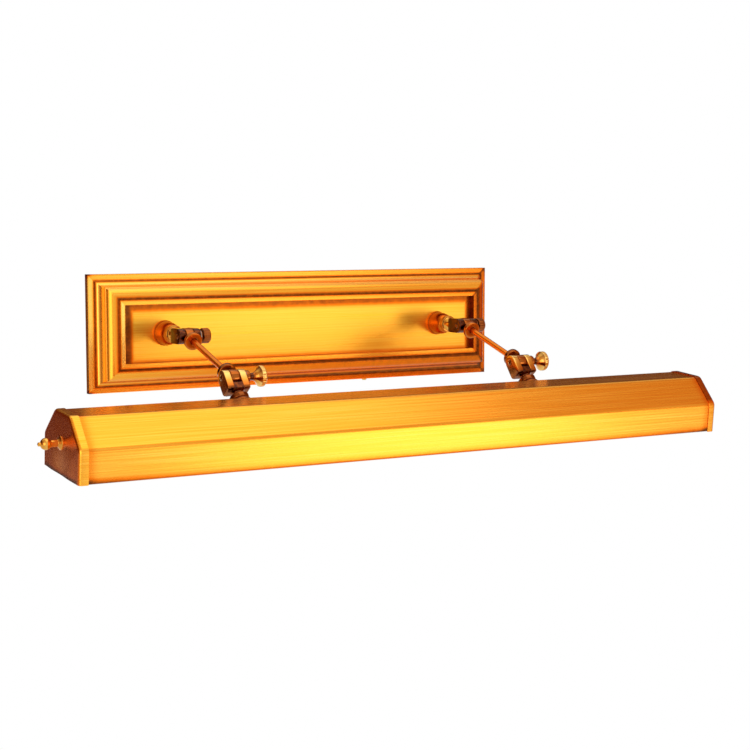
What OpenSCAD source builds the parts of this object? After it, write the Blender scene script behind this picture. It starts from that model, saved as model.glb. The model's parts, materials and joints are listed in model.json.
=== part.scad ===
// Wall picture light: a moulded wall plate, two jointed arms and a long folded shade.
// Millimetres. The origin is the centre of the plate's back, on the wall.
// X runs along the wall, Y points into the wall and Z points up.

/* [Wall plate] */
// Width of the wall plate
plate_w = 500; // [460:1:620]
// Height of the wall plate
plate_h = 125; // [115:1:160]
// Width of the moulded border, from the outer edge to the panel
border_w = 32; // [30:0.5:38]
// Width of the flat outer rim
rim_w = 7.5; // [6.5:0.5:9]
// Height of the outer rim off the wall
rim_d = 7.5; // [7:0.5:10]
// Height of the step between the rim and the cove
step_d = 2.5; // [1.5:0.5:4]
// Width of the hollow cove
cove_w = 6; // [4:0.5:8]
// Height of the hollow cove
cove_h = 12.5; // [10:0.5:14]
// Width of the raised lip round the panel
lip_w = 5.5; // [4.5:0.5:8]
// Height of the lip off the wall
lip_d = 31; // [29:0.5:40]
// Height of the lip over the round moulding beside it
lip_step = 1.5; // [0.5:0.5:3]
// Depth of the panel below the lip
panel_recess = 8; // [7:0.5:10]
// Thickness of the panel
panel_t = 2; // [1.2:0.1:3]
// Wall thickness of the moulding
shell_t = 2.2; // [1.6:0.1:2.6]

/* [Wall bracket] */
// Sheet thickness of the wall bracket
bracket_t = 1.5; // [1:0.1:2]
// Height of the bracket's long strip
strip_h = 40; // [34:1:50]
// Distance between the two wall screws
slot_spacing = 260; // [240:1:300]
// Width of a wall screw slot
slot_w = 5.5; // [4.5:0.5:7]
// Length of a wall screw slot
slot_l = 12; // [9:0.5:16]
// Distance between the bracket's two straps
strap_spacing = 170; // [160:1:200]
// Width of a strap
strap_w = 24; // [18:1:30]
// Height of the hook at the top of a strap
hook_h = 8; // [6:0.5:11]
// Length of the hanging rail inside the plate
rail_l = 300; // [240:1:340]
// Thickness of the hanging rail
rail_t = 1.6; // [1.2:0.1:2]
// Radius of the hole for the supply cable's grommet
grommet_r = 7; // [6:0.5:9]
// Radius of the way through the grommet
cable_r = 4; // [3:0.5:5]
// Radius of the small fixing screws
screw_r = 1.45; // [1.25:0.05:1.6]
// Length of the terminal block
terminal_l = 34; // [30:1:38]

/* [Arms] */
// Distance between the two arms
arm_spacing = 342; // [320:1:390]
// Distance from the panel to the upper pivots
wall_reach = 60; // [56:1:80]
// Length of an arm from pivot to pivot
arm_len = 110; // [80:1:160]
// Angle of the arms below level
arm_drop = 18; // [0:1:30]
// Radius of the arm tube
rod_r = 3.25; // [2.75:0.25:3.5]
// Radius of the way through the arm tube
rod_bore_r = 2.1; // [1.5:0.1:2.3]

/* [Knuckles] */
// Radius of the knuckles
knuckle_r = 8; // [7.5:0.25:9]
// Width of a fork
fork_w = 24; // [21:0.5:30]
// Width of the tongue in a fork
tongue_w = 9; // [8.5:0.5:11]
// Radius of the pivot screws
pivot_r = 3; // [2.5:0.25:3.5]
// Radius of the collars on stems and arms
collar_r = 9.5; // [9:0.5:11]
// Thickness of the collars
collar_t = 5; // [3.5:0.5:6]
// Radius of the stems' necks
neck_r = 5.5; // [5:0.25:6.5]
// Radius of the stems' screwed tails
tail_r = 5; // [4.5:0.25:5.5]
// Radius of the wire way through the stems
wire_r = 3; // [2.5:0.25:3.25]
// Radius of the domed roses on the panel
rose_r = 13.5; // [12:0.5:18]
// Height of the domed roses on the panel
rose_h = 22; // [16:1:26]
// Radius of the roses on the shade
shade_rose_r = 12.5; // [11:0.5:14]
// Height of the roses on the shade
shade_rose_h = 8; // [6:0.5:9]
// Radius of the knobs at the upper pivots
wall_knob_r = 8; // [7:0.5:10]
// Length of the knobs at the upper pivots
wall_knob_l = 11.5; // [9:0.5:14]
// Radius of the flared knobs at the lower pivots
shade_knob_r = 10.5; // [9:0.5:12]
// Length of the flared knobs at the lower pivots
shade_knob_l = 21; // [18:1:30]

/* [Shade] */
// Length of the shade over its end caps
shade_l = 729; // [680:1:800]
// Depth of the shade from front to back
shade_d = 90; // [84:1:110]
// Depth of the shade's flat top
shade_top = 38; // [32:1:46]
// Height of the shade
shade_h = 56; // [50:1:66]
// Height of the shade's upright skirt
skirt_h = 31; // [24:1:34]
// Sheet thickness of the shade
sheet_t = 1.2; // [0.8:0.1:1.6]
// Width of the turned-in edge round the mouth
hem_w = 6; // [4:0.5:8]
// Outer radius of the folds
fold_r = 2; // [1.8:0.1:3]
// Tilt of the shade, front edge down
shade_tilt = 5; // [0:1:20]
// Distance from the shade's back slope to the lower pivots
stem_reach = 35; // [33:0.5:46]
// Sheet thickness of the end caps
cap_t = 1.2; // [0.8:0.1:1.6]
// Width of the end caps' flanges
flange_w = 9; // [6:0.5:14]
// Thickness of the end caps' flanges
flange_t = 0.9; // [0.6:0.1:1.4]
// Length of the turned knobs on the end caps
end_knob_l = 22; // [18:0.5:28]
// Radius of the turned knobs on the end caps
end_knob_r = 5.5; // [5:0.25:7]
// Sheet thickness of the reflector
reflector_t = 0.8; // [0.5:0.1:1]

/* [Lamps] */
// Depth of the lamps below the shade's top
lamp_drop = 27; // [25:0.5:30]
// Radius of the lamps' glass tubes
lamp_r = 11; // [10:0.5:12]
// Length of the lamps' glass tubes
lamp_l = 80; // [60:1:84]
// Wall thickness of the glass
glass_t = 0.8; // [0.6:0.1:1.2]
// Radius of the lampholders
holder_r = 12; // [11:0.5:13]
// Length of the lampholders
holder_l = 30; // [27:0.5:34]

/* [Fits] */
// Clearance round a turning screw
turn_play = 0.08; // [0.04:0.01:0.1]
// Clearance on each side of a tongue
side_play = 0.3; // [0.2:0.05:0.4]
// Clearance of plain holes and slip fits
slip_play = 0.1; // [0.05:0.01:0.15]
// Room around holes that only let something through
hole_play = 0.25; // [0.2:0.05:0.4]

/* [Hidden] */
$fn = 48;

brass = "#d8a032";
dark_brass = "#a8702a";
steel = "#9a9a98";
eps = 0.01;
cut = 1;

// Wall plate: places across the border, inward from the outer edge, and heights off the wall
edge_r = 0.8;
ledge_w = 1;
groove_w = 1;
groove_d = 0.8;
arc_steps = 6;
panel_d = lip_d - panel_recess;
lip_u = border_w - lip_w;
ledge_u = lip_u - ledge_w;
cove_u = rim_w + cove_w;
cove_d = rim_d + step_d + cove_h;
round_u = lip_u - groove_w;
round_d = lip_d - lip_step;
round_w = round_u - cove_u - edge_r;
round_h = round_d - cove_d;
hollow_u = cove_u + shell_t + cut;
panel_back = panel_d - panel_t;
panel_screw_u = (ledge_u + border_w) / 2;
panel_screw_pitch = (plate_w - 2 * border_w) / 4.4;
panel_screw_l = 5;
screw_end = 0.5;
head_r = 2.7;
head_t = 1.8;
driver_w = 0.7;
driver_d = 0.9;

// Wall bracket and hanging rail
rail_front = rim_d - shell_t - hole_play;
rail_top = plate_h / 2 - shell_t;
hook_top = plate_h / 2 - hollow_u;
hook_floor = hook_top - hook_h;
hook_front = rail_front + side_play + bracket_t;
tab_foot = -(plate_h / 2 - hollow_u);
rail_gap = 0.5;
tab_d = 8;
fixing_d = bracket_t + hole_play + screw_r;
strip_l = slot_spacing + slot_l + 16;
grommet_t = 2;
grommet_flange = 2.5;
terminal_x = 40;
terminal_h = 16;
terminal_t = 12;
terminal_pitch = terminal_l / 3.4;
terminal_row = 4.5;
terminal_screw_r = 1.6;
terminal_screw_l = 5;
terminal_sink = 1;
terminal_groove = 1.6;
earth_x = -45;
earth_z = -9;
earth_r = 2;
earth_head_r = 3.8;
earth_head_t = 2.6;
lead_r = 2;

// Arms and knuckles
arm_x = arm_spacing / 2;
pivot_d = panel_d + wall_reach;
washer_t = 1.2;
nut_t = 4.5;
nut_r = 8.6;
washer_r = 9;
tail_free = 3;
rose_foot = 2.5;
rose_land = 2.5;
slot_half = tongue_w / 2 + side_play;
slot_floor = knuckle_r + 1.5;
fork_root = slot_floor + 7.5;
eye_neck = knuckle_r + 3;
eye_depth = 10;
socket_floor = eye_neck - 2;
pivot_washer_r = 6.5;
pivot_washer_t = 1;
knob_foot = fork_w / 2 + pivot_washer_t;
flute_d = 0.35;
flute_gap = 0.4;
shade_pivot = [0, -(pivot_d + arm_len * cos(arm_drop)), -arm_len * sin(arm_drop)];

// Shade, in a frame at the lower pivots before the tilt: first value to the wall, second up
slope_y = (shade_d - shade_top) / 2;
slope_z = shade_h - skirt_h;
slope_len = norm([slope_y, slope_z]);
slope_a = atan2(slope_z, slope_y);
mid_y = -(shade_top / 2 + slope_y / 2 + stem_reach * sin(slope_a));
top_z = slope_z / 2 - stem_reach * cos(slope_a);
mouth_z = top_z - shade_h;
knee_z = mouth_z + skirt_h;
body_l = shade_l - 2 * cap_t;
under_sheet = sheet_t + slip_play + reflector_t;
knob_rise = 0.52;
knob_z = mouth_z + knob_rise * shade_h;
stud_r = 2;
stud_l = 9;
bracket_stud_r = 1.5;
bracket_stud_l = 7;
bracket_nut_r = 3.1;
bracket_nut_t = 2.4;
bracket_leg = 30;
bracket_w = 24;
bracket_foot = 9;
bracket_stud_x = shade_l / 2 - cap_t - 20;
bracket_stud_y = 8;
shade_tail_end = stem_reach + sheet_t + bracket_t + washer_t + nut_t + tail_free;

// Lamps
lamp_bracket_w = 22;
lamp_bracket_h = 24;
lamp_plate_x = arm_x - lamp_bracket_w / 2;
lamp_y = mid_y;
lamp_z = top_z - lamp_drop;
nipple_r = 5;
nipple_bore = 3;
nipple_seat = 6;
cap_seat = 8;
lamp_cap_r = 6.9;
lamp_neck_r = 8.6;
lamp_neck_l = 7;
lamp_gap = 1;
lamp_flange = 2;
cap_play = 0.5;
band_w = 1;
band_l = 6;
shoulder_y = slope_y / 2 + shade_top / 2;
lead_dir = atan2(lamp_drop - slope_z / 2, shoulder_y);
lead_seat = 4;
lamp_arm_w = 18;

function inward(a, b) = let (d = b - a) [d[1], -d[0]] / norm(d);
// Closed outline moved inward by s, each corner kept sharp
function inset(points, s) = [
    for (i = [0:len(points) - 1])
        let (
            before = points[(i + len(points) - 1) % len(points)],
            after = points[(i + 1) % len(points)],
            n1 = inward(before, points[i]),
            n2 = inward(points[i], after)
        ) points[i] + s * (n1 + n2) / (1 + n1 * n2)
];
// Closed outline with each corner rounded by an arc of radius r
function rounded(points, r, steps = 4) = [
    for (i = [0:len(points) - 1])
        let (
            before = points[(i + len(points) - 1) % len(points)],
            after = points[(i + 1) % len(points)],
            n1 = inward(before, points[i]),
            n2 = inward(points[i], after),
            hub = points[i] + r * (n1 + n2) / (1 + n1 * n2)
        )
        for (k = [0:steps])
            let (blend = n1 * (steps - k) / steps + n2 * k / steps) hub - r * blend / norm(blend)
];
// Points of a curve through hand-set points, with steps between each pair
function curve(p, steps) = concat(
    [
        for (i = [0:len(p) - 2])
            let (
                a = p[max(i - 1, 0)],
                b = p[i],
                c = p[i + 1],
                d = p[min(i + 2, len(p) - 1)]
            )
            for (k = [0:steps - 1])
                let (t = k / steps)
                    0.5 * (2 * b + (c - a) * t + (2 * a - 5 * b + 4 * c - d) * t * t
                        + (3 * b - a - 3 * c + d) * t * t * t)
    ],
    [p[len(p) - 1]]
);
function unit(v) = v / norm(v);
// A point of the shade's section, from places along its back slope and out of it
function on_stem(along, out) = [
    along * cos(slope_a) + out * sin(slope_a),
    out * cos(slope_a) - along * sin(slope_a)
];

// The section of the border: width from the outer edge, height off the wall
moulding_front = concat(
    [[0, 0], [0, rim_d - edge_r], [edge_r, rim_d], [rim_w, rim_d]],
    [
        for (i = [0:arc_steps])
            let (a = 90 * i / arc_steps) [rim_w + cove_w * sin(a), cove_d - cove_h * cos(a)]
    ],
    [
        for (i = [0:arc_steps])
            let (a = 90 * i / arc_steps) [round_u - round_w * cos(a), cove_d + round_h * sin(a)]
    ],
    [
        [round_u, round_d - groove_d], [lip_u, round_d - groove_d],
        [lip_u, lip_d - edge_r], [lip_u + edge_r, lip_d],
        [border_w - edge_r, lip_d], [border_w, lip_d - edge_r], [border_w, panel_d]
    ]
);
moulding_back = [
    [ledge_u, panel_d], [ledge_u, round_d - groove_d - shell_t],
    [cove_u + shell_t, cove_d - shell_t / 2], [cove_u + shell_t, rim_d],
    [rim_w, rim_d - shell_t], [shell_t, rim_d - shell_t], [shell_t, 0]
];
moulding = concat(moulding_front, moulding_back);

shade_outline = [
    [mid_y - shade_d / 2, mouth_z], [mid_y - shade_d / 2, knee_z],
    [mid_y - shade_top / 2, top_z], [mid_y + shade_top / 2, top_z],
    [mid_y + shade_d / 2, knee_z], [mid_y + shade_d / 2, mouth_z]
];

// Routes of the wires inside the plate, from the terminal block to the stems' tails
left_route = [
    [terminal_x - terminal_l / 2, -8, 5], [terminal_x - terminal_l / 2 - 5, -8, 5],
    [terminal_x - terminal_l / 2 - 11, -8, 5.6], [-6, -8, 10], [-60, -7.5, 9], [-arm_x + 40, -6, 2],
    [-arm_x + 20, -3.6, 0], [-arm_x + 8, -3, 0], [-arm_x + 1.2, -6.6, 0], [-arm_x, -12, 0],
    [-arm_x, -panel_back, 0]
];
right_route = [
    [terminal_x + terminal_l / 2, -8, 0], [85, -7, 0], [arm_x - 40, -6, 0],
    [arm_x - 20, -3.6, 0], [arm_x - 8, -3, 0], [arm_x - 1.2, -6.6, 0], [arm_x, -12, 0],
    [arm_x, -panel_back, 0]
];
// Route of the wire in the shade, from the stem's tail to the lampholder
lead_x = lamp_plate_x + bracket_t + lead_seat;
lead_start = on_stem(0, -(shade_tail_end - 6));
lead_turn = on_stem(0, -(shade_tail_end + 1.5));
lamp_axis = [lamp_y, lamp_z];
lead_in = lamp_axis + (holder_r + 4) * [cos(lead_dir), sin(lead_dir)];
lead_stop = lamp_axis + (holder_r - 3) * [cos(lead_dir), sin(lead_dir)];
shade_route = [
    [arm_x, lead_start[0], lead_start[1]], [arm_x, lead_turn[0], lead_turn[1]],
    [lead_x, lead_in[0], lead_in[1]], [lead_x, lead_stop[0], lead_stop[1]]
];

// Turned shape standing out of the wall: the outline gives radius and height off the wall
module out_of_wall(x) translate([x, 0, 0]) rotate([90, 0, 0]) children();
// Turned shape lying along X
module along_x(x = 0) translate([x, 0, 0]) rotate([0, 90, 0]) children();
module at_wall_pivot(side) translate([side * arm_x, -pivot_d, 0]) children();
module along_arm(side) at_wall_pivot(side) rotate([90 + arm_drop, 0, 0]) children();
module in_shade() translate(shade_pivot) rotate([shade_tilt, 0, 0]) children();
module along_stem(side) in_shade() translate([side * arm_x, 0, 0]) rotate([-slope_a, 0, 0]) children();
module at_lamp(x) in_shade() translate([x, lamp_y, lamp_z]) children();
module both() {
    children();
    mirror([1, 0, 0]) children();
}
// Outline of the shade's section, drawn out along X about the middle
module section(points, l) rotate([90, 0, 90]) translate([0, 0, -l / 2]) linear_extrude(l) polygon(points);

// Round tube along a route; guide is a direction that the route never follows
module tube(route, r, guide, sides = 8) {
    n = len(route);
    rings = [
        for (i = [0:n - 1])
            let (
                t = unit(route[min(i + 1, n - 1)] - route[max(i - 1, 0)]),
                u = unit(cross(t, guide)),
                w = cross(t, u)
            )
            for (k = [0:sides - 1])
                let (a = 360 * k / sides) route[i] + r * (cos(a) * u + sin(a) * w)
    ];
    walls = [
        for (i = [0:n - 2])
            for (k = [0:sides - 1])
                let (j = (k + 1) % sides)
                    each [
                        [i * sides + k, (i + 1) * sides + k, i * sides + j],
                        [i * sides + j, (i + 1) * sides + k, (i + 1) * sides + j]
                    ]
    ];
    ends = [
        [for (k = [0:sides - 1]) k],
        [for (k = [0:sides - 1]) n * sides - 1 - k]
    ];
    polyhedron(rings, concat(walls, ends));
}

// Fork of a knuckle: pivot at the origin, the slot opens along +Z
module fork() {
    difference() {
        union() {
            rotate([0, 90, 0]) cylinder(r = knuckle_r, h = fork_w, center = true);
            translate([-fork_w / 2, -knuckle_r, -fork_root]) cube([fork_w, 2 * knuckle_r, fork_root]);
        }
        translate([-slot_half, -knuckle_r - cut, -slot_floor])
            cube([2 * slot_half, 2 * (knuckle_r + cut), slot_floor + knuckle_r + cut]);
        rotate([0, 90, 0]) cylinder(r = pivot_r + turn_play, h = fork_w + 2 * cut, center = true);
    }
}

// Eye on the end of an arm: pivot at the origin, the arm leaves along +Z
module eye() {
    difference() {
        union() {
            rotate([0, 90, 0]) cylinder(r = knuckle_r, h = tongue_w, center = true);
            translate([-tongue_w / 2, -eye_depth / 2, 0]) cube([tongue_w, eye_depth, eye_neck + eps]);
            translate([0, 0, eye_neck]) rotate_extrude()
                polygon([
                    [0, 0], [collar_r - edge_r, 0], [collar_r, edge_r], [collar_r, collar_t - edge_r],
                    [collar_r - edge_r, collar_t], [0, collar_t]
                ]);
        }
        rotate([0, 90, 0]) cylinder(r = pivot_r + turn_play, h = tongue_w + 2 * cut, center = true);
        translate([0, 0, socket_floor]) cylinder(r = rod_r + slip_play / 2, h = eye_neck + collar_t);
    }
}

// Turned stem below a fork, from the tail's end up to the fork's root
module stem(tail_end, seat, fork_at) {
    neck_l = fork_at - seat - collar_t;
    difference() {
        union() {
            rotate_extrude()
                polygon(concat(
                    [
                        [0, tail_end], [tail_r - edge_r, tail_end], [tail_r, tail_end + edge_r],
                        [tail_r, seat], [collar_r - edge_r, seat], [collar_r, seat + edge_r],
                        [collar_r, seat + collar_t - edge_r], [collar_r - edge_r, seat + collar_t]
                    ],
                    [
                        for (i = [0:arc_steps])
                            let (t = i / arc_steps)
                                [
                                    knuckle_r - (knuckle_r - neck_r) * sin(180 * t),
                                    seat + collar_t + neck_l * t
                                ]
                    ],
                    [[0, fork_at]]
                ));
            translate([0, 0, fork_at + fork_root]) fork();
        }
        translate([0, 0, tail_end - cut])
            cylinder(r = wire_r, h = fork_at + fork_root - slot_floor - tail_end + 2 * cut);
    }
}

// Domed rose with a straight foot
module rose(r, h) {
    land = tail_r + rose_land;
    difference() {
        rotate_extrude()
            polygon(concat(
                [[0, 0], [r, 0], [r, rose_foot]],
                [
                    for (i = [0:arc_steps])
                        let (a = 90 * i / arc_steps)
                            [land + (r - edge_r - land) * cos(a), rose_foot + (h - rose_foot) * sin(a)]
                ],
                [[0, h]]
            ));
        translate([0, 0, -cut]) cylinder(r = tail_r + slip_play, h = h + 2 * cut);
    }
}

module washer(r, bore, t) {
    difference() {
        cylinder(r = r, h = t);
        translate([0, 0, -cut]) cylinder(r = bore, h = t + 2 * cut);
    }
}

module nut(r, bore, t) {
    difference() {
        cylinder(r = r, h = t, $fn = 6);
        translate([0, 0, -cut]) cylinder(r = bore, h = t + 2 * cut);
    }
}

// Round-headed screw: the head's seat at the origin, the shank along -Z
module screw(r, l, hr, ht) {
    rotate_extrude()
        polygon([[0, -l], [r, -l], [r, 0], [hr, 0], [hr, ht * 0.5], [hr * 0.7, ht], [0, ht]]);
}

// Grip flutes cut round a knob
module flutes(r, from, to, count) {
    for (i = [0:count - 1])
        rotate([0, 0, 360 * (i + 0.5) / count]) translate([r + flute_d, 0, from + flute_gap])
            cylinder(r = 2 * flute_d, h = to - from - 2 * flute_gap, $fn = 16);
}

// Screw and knob of an upper pivot, along Z from the middle of the fork
module wall_knob() {
    hub_r = 5.5;
    hub_l = 1.5;
    chamfer = 1;
    crown = 2.4;
    foot = knob_foot;
    tip = foot + wall_knob_l;
    grip_from = foot + hub_l + chamfer;
    grip_to = tip - crown;
    difference() {
        rotate_extrude()
            polygon([
                [0, -fork_w / 2], [pivot_r, -fork_w / 2], [pivot_r, foot], [hub_r, foot],
                [hub_r, foot + hub_l], [wall_knob_r - chamfer, foot + hub_l],
                [wall_knob_r, grip_from], [wall_knob_r, grip_to],
                [wall_knob_r - chamfer, tip - crown / 2], [wall_knob_r / 2, tip - crown / 6], [0, tip]
            ]);
        flutes(wall_knob_r, grip_from, grip_to, 22);
    }
}

// Screw and flared knob of a lower pivot, along Z from the middle of the fork
module shade_knob() {
    base_r = 6.5;
    base_l = 3.5;
    waist_r = 3.6;
    waist_l = 2;
    grip_l = 3.8;
    crown = 1.7;
    foot = knob_foot;
    tip = foot + shade_knob_l;
    flare_from = foot + base_l + 2 * waist_l;
    flare_to = tip - crown - grip_l;
    difference() {
        rotate_extrude()
            polygon(concat(
                [
                    [0, -fork_w / 2], [pivot_r, -fork_w / 2], [pivot_r, foot], [base_r - edge_r, foot],
                    [base_r, foot + edge_r], [base_r, foot + base_l], [waist_r, foot + base_l + waist_l]
                ],
                [
                    for (i = [0:arc_steps])
                        let (t = i / arc_steps)
                            [
                                waist_r + (shade_knob_r - waist_r) * t * t,
                                flare_from + (flare_to - flare_from) * t
                            ]
                ],
                [
                    [shade_knob_r, tip - crown], [shade_knob_r - edge_r, tip - crown / 2],
                    [shade_knob_r / 2, tip - crown / 6], [0, tip]
                ]
            ));
        flutes(shade_knob_r, flare_to, tip - crown, 30);
    }
}

// Turned knob of an end cap, along Z from the cap's face
module end_knob(side) {
    foot_r = end_knob_r + 1;
    foot_t = 1.2;
    neck_at = 3 * foot_t;
    neck = stud_r + 1.3;
    ball_from = 0.42 * end_knob_l;
    ball_to = 0.88 * end_knob_l;
    tip_r = 1.8;
    color(dark_brass) in_shade() translate([side * shade_l / 2, mid_y, knob_z]) rotate([0, 90 * side, 0])
        difference() {
            rotate_extrude()
                polygon(concat(
                    [
                        [0, 0], [foot_r, 0], [foot_r, foot_t], [end_knob_r - edge_r, 2 * foot_t],
                        [neck, neck_at], [neck, ball_from]
                    ],
                    [
                        for (i = [1:2 * arc_steps - 1])
                            let (a = 90 * i / arc_steps)
                                [
                                    max(i < arc_steps ? neck : tip_r, end_knob_r * sin(a)),
                                    ball_from + (ball_to - ball_from) * (1 - cos(a)) / 2
                                ]
                    ],
                    [[tip_r, end_knob_l - edge_r], [0, end_knob_l]]
                ));
            translate([0, 0, -cut]) cylinder(r = stud_r + turn_play, h = stud_l + 2 * cut);
        }
}

module plate_moulding() {
    n = len(moulding);
    corners = [[1, 1], [-1, 1], [-1, -1], [1, -1]];
    points = [
        for (p = moulding)
            for (c = corners) [c[0] * (plate_w / 2 - p[0]), -p[1], c[1] * (plate_h / 2 - p[0])]
    ];
    faces = [
        for (i = [0:n - 1])
            for (k = [0:3])
                let (j = (k + 1) % 4, m = (i + 1) % n) [4 * i + k, 4 * i + j, 4 * m + j, 4 * m + k]
    ];
    color(brass) difference() {
        polyhedron(points, faces);
        panel_holes(screw_r + turn_play, panel_d - cut, panel_d + panel_screw_l);
        fixing_places() cylinder(r = screw_r + hole_play, h = 2 * shell_t, center = true);
    }
}

// Holes for the panel's screws, between two heights off the wall
module panel_holes(r, from, to) {
    for (i = [-2:2])
        for (s = [-1, 1])
            translate([i * panel_screw_pitch, -from, s * (plate_h / 2 - panel_screw_u)])
                rotate([90, 0, 0]) cylinder(r = r, h = to - from);
}

// The two screws through the plate's lower edge
module fixing_places() {
    for (s = [-1, 1])
        translate([s * strap_spacing / 2, -fixing_d, -plate_h / 2]) children();
}

module plate_panel() {
    w = plate_w - 2 * (ledge_u + slip_play);
    h = plate_h - 2 * (ledge_u + slip_play);
    color(brass) difference() {
        translate([-w / 2, -panel_d, -h / 2]) cube([w, panel_t, h]);
        both() out_of_wall(arm_x) translate([0, 0, panel_back - cut])
            cylinder(r = tail_r + slip_play, h = panel_t + 2 * cut);
        panel_holes(screw_r + hole_play, panel_back - cut, panel_d + cut);
    }
}

module panel_screws() {
    color(steel)
        for (i = [-2:2])
            for (s = [-1, 1])
                translate([i * panel_screw_pitch, -panel_back, s * (plate_h / 2 - panel_screw_u)])
                    rotate([-90, 0, 0]) screw(screw_r, panel_t + panel_screw_l - screw_end, head_r, head_t);
}

module hanging_rail() {
    color(steel) translate([-rail_l / 2, 0, 0]) {
        translate([0, -rail_front, hook_floor]) cube([rail_l, rail_t, rail_top - hook_floor]);
        translate([0, -rail_front, rail_top - rail_t]) cube([rail_l, rail_front - rail_gap, rail_t]);
    }
}

// Hole through the bracket's sheet
module sheet_hole(x, z, r) {
    translate([x, cut, z]) rotate([90, 0, 0]) cylinder(r = r, h = bracket_t + 2 * cut);
}

module wall_bracket() {
    slot_run = slot_l - slot_w;
    color(steel) difference() {
        union() {
            translate([-strip_l / 2, -bracket_t, -strip_h / 2]) cube([strip_l, bracket_t, strip_h]);
            for (s = [-1, 1])
                translate([s * strap_spacing / 2 - strap_w / 2, 0, 0]) {
                    translate([0, -bracket_t, tab_foot]) cube([strap_w, bracket_t, hook_floor - tab_foot]);
                    translate([0, -tab_d, tab_foot]) cube([strap_w, tab_d, bracket_t]);
                    translate([0, -hook_front, hook_floor - bracket_t]) {
                        cube([strap_w, hook_front, bracket_t]);
                        cube([strap_w, bracket_t, hook_h + bracket_t]);
                    }
                }
        }
        sheet_hole(0, 0, grommet_r);
        sheet_hole(earth_x, earth_z, earth_r + turn_play);
        for (s = [-1, 1]) {
            for (t = [-1, 1])
                sheet_hole((s * slot_spacing + t * slot_run) / 2, 0, slot_w / 2);
            translate([(s * slot_spacing - slot_run) / 2, -bracket_t - cut, -slot_w / 2])
                cube([slot_run, bracket_t + 2 * cut, slot_w]);
            translate([s * strap_spacing / 2, -fixing_d, tab_foot - cut])
                cylinder(r = screw_r + turn_play, h = bracket_t + 2 * cut);
        }
    }
}

module plate_fixing_screws() {
    l = tab_foot + bracket_t + plate_h / 2;
    color(brass) fixing_places() rotate([180, 0, 0]) screw(screw_r, l + cut, head_r, head_t);
}

module cable_grommet() {
    hub_r = grommet_r - slip_play;
    flange_r = grommet_r + grommet_flange;
    front = bracket_t + grommet_t;
    color("#2a2a2a") rotate([90, 0, 0]) rotate_extrude()
        polygon([
            [cable_r, 0], [hub_r, 0], [hub_r, bracket_t], [flange_r, bracket_t],
            [flange_r, front - edge_r], [flange_r - edge_r, front], [cable_r, front]
        ]);
}

// The screw places of the terminal block, on its front
module terminal_places() {
    for (i = [-1:1])
        for (s = [-1, 1])
            translate([terminal_x + i * terminal_pitch, -bracket_t - terminal_t, s * terminal_row])
                rotate([90, 0, 0]) translate([0, 0, -terminal_sink - terminal_screw_l]) children();
}

module terminal_block() {
    front = -bracket_t - terminal_t;
    foot = -terminal_h / 2;
    color("#efe9dc") difference() {
        translate([terminal_x - terminal_l / 2, front, foot]) cube([terminal_l, terminal_t, terminal_h]);
        for (i = [-0.5, 0.5])
            translate([terminal_x + i * terminal_pitch - terminal_groove / 2, front - cut, foot - cut])
                cube([terminal_groove, terminal_t / 2 + cut, terminal_h + 2 * cut]);
        for (i = [-1:1])
            translate([terminal_x + i * terminal_pitch, -bracket_t - terminal_t / 3, foot - cut])
                cylinder(r = terminal_screw_r, h = terminal_h + 2 * cut);
        terminal_places()
            cylinder(r = terminal_screw_r + turn_play, h = terminal_screw_l + terminal_sink + cut);
    }
}

// Screwdriver slot in the top of a screw at height h
module driver_slot(r, h) {
    translate([-driver_w / 2, -r - cut, h - driver_d]) cube([driver_w, 2 * (r + cut), driver_d + cut]);
}

module terminal_screws() {
    color(brass) terminal_places() difference() {
        cylinder(r = terminal_screw_r, h = terminal_screw_l);
        driver_slot(terminal_screw_r, terminal_screw_l);
    }
}

module earth_screw() {
    color(brass) translate([earth_x, -bracket_t, earth_z]) rotate([90, 0, 0]) difference() {
        screw(earth_r, bracket_t, earth_head_r, earth_head_t);
        driver_slot(earth_head_r, earth_head_t);
    }
}

module left_wall_lead() color("#3a2a20") tube(curve(left_route, 3), lead_r, [0, 0, 1]);
module right_wall_lead() color("#3a2a20") tube(curve(right_route, 3), lead_r, [0, 0, 1]);

module wall_rose(side) {
    color(brass) out_of_wall(side * arm_x) translate([0, 0, panel_d]) rose(rose_r, rose_h);
}

module wall_stem(side) {
    color(dark_brass) out_of_wall(side * arm_x)
        stem(panel_back - washer_t - nut_t - tail_free, panel_d + rose_h, pivot_d - fork_root);
}

module wall_stem_washers() {
    color(steel) both() out_of_wall(arm_x) translate([0, 0, panel_back - washer_t])
        washer(washer_r, tail_r + turn_play, washer_t);
}

module wall_stem_nuts() {
    color(brass) both() out_of_wall(arm_x) translate([0, 0, panel_back - washer_t - nut_t])
        nut(nut_r, tail_r + turn_play, nut_t);
}

module wall_pivot_washers() {
    color(steel)
        for (s = [-1, 1])
            at_wall_pivot(s) along_x(fork_w / 2)
                washer(pivot_washer_r, pivot_r + turn_play, pivot_washer_t);
}

module left_wall_knob() color(dark_brass) at_wall_pivot(-1) along_x() wall_knob();
module right_wall_knob() color(dark_brass) at_wall_pivot(1) along_x() wall_knob();

module arm_rod(side) {
    l = arm_len - 2 * socket_floor;
    color(brass) along_arm(side) translate([0, 0, socket_floor]) difference() {
        cylinder(r = rod_r, h = l);
        translate([0, 0, -cut]) cylinder(r = rod_bore_r, h = l + 2 * cut);
    }
}

module arm_upper_eye(side) color(dark_brass) along_arm(side) eye();

module arm_lower_eye(side) {
    color(dark_brass) along_arm(side) translate([0, 0, arm_len]) rotate([180, 0, 0]) eye();
}

// The ways through the shade's back slope for the stems' tails
module stem_holes() {
    l = 8 * sheet_t;
    for (s = [-1, 1])
        translate([s * arm_x, 0, 0]) rotate([-slope_a, 0, 0]) translate([0, 0, -stem_reach - l / 2])
            cylinder(r = tail_r + slip_play, h = l);
}

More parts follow.
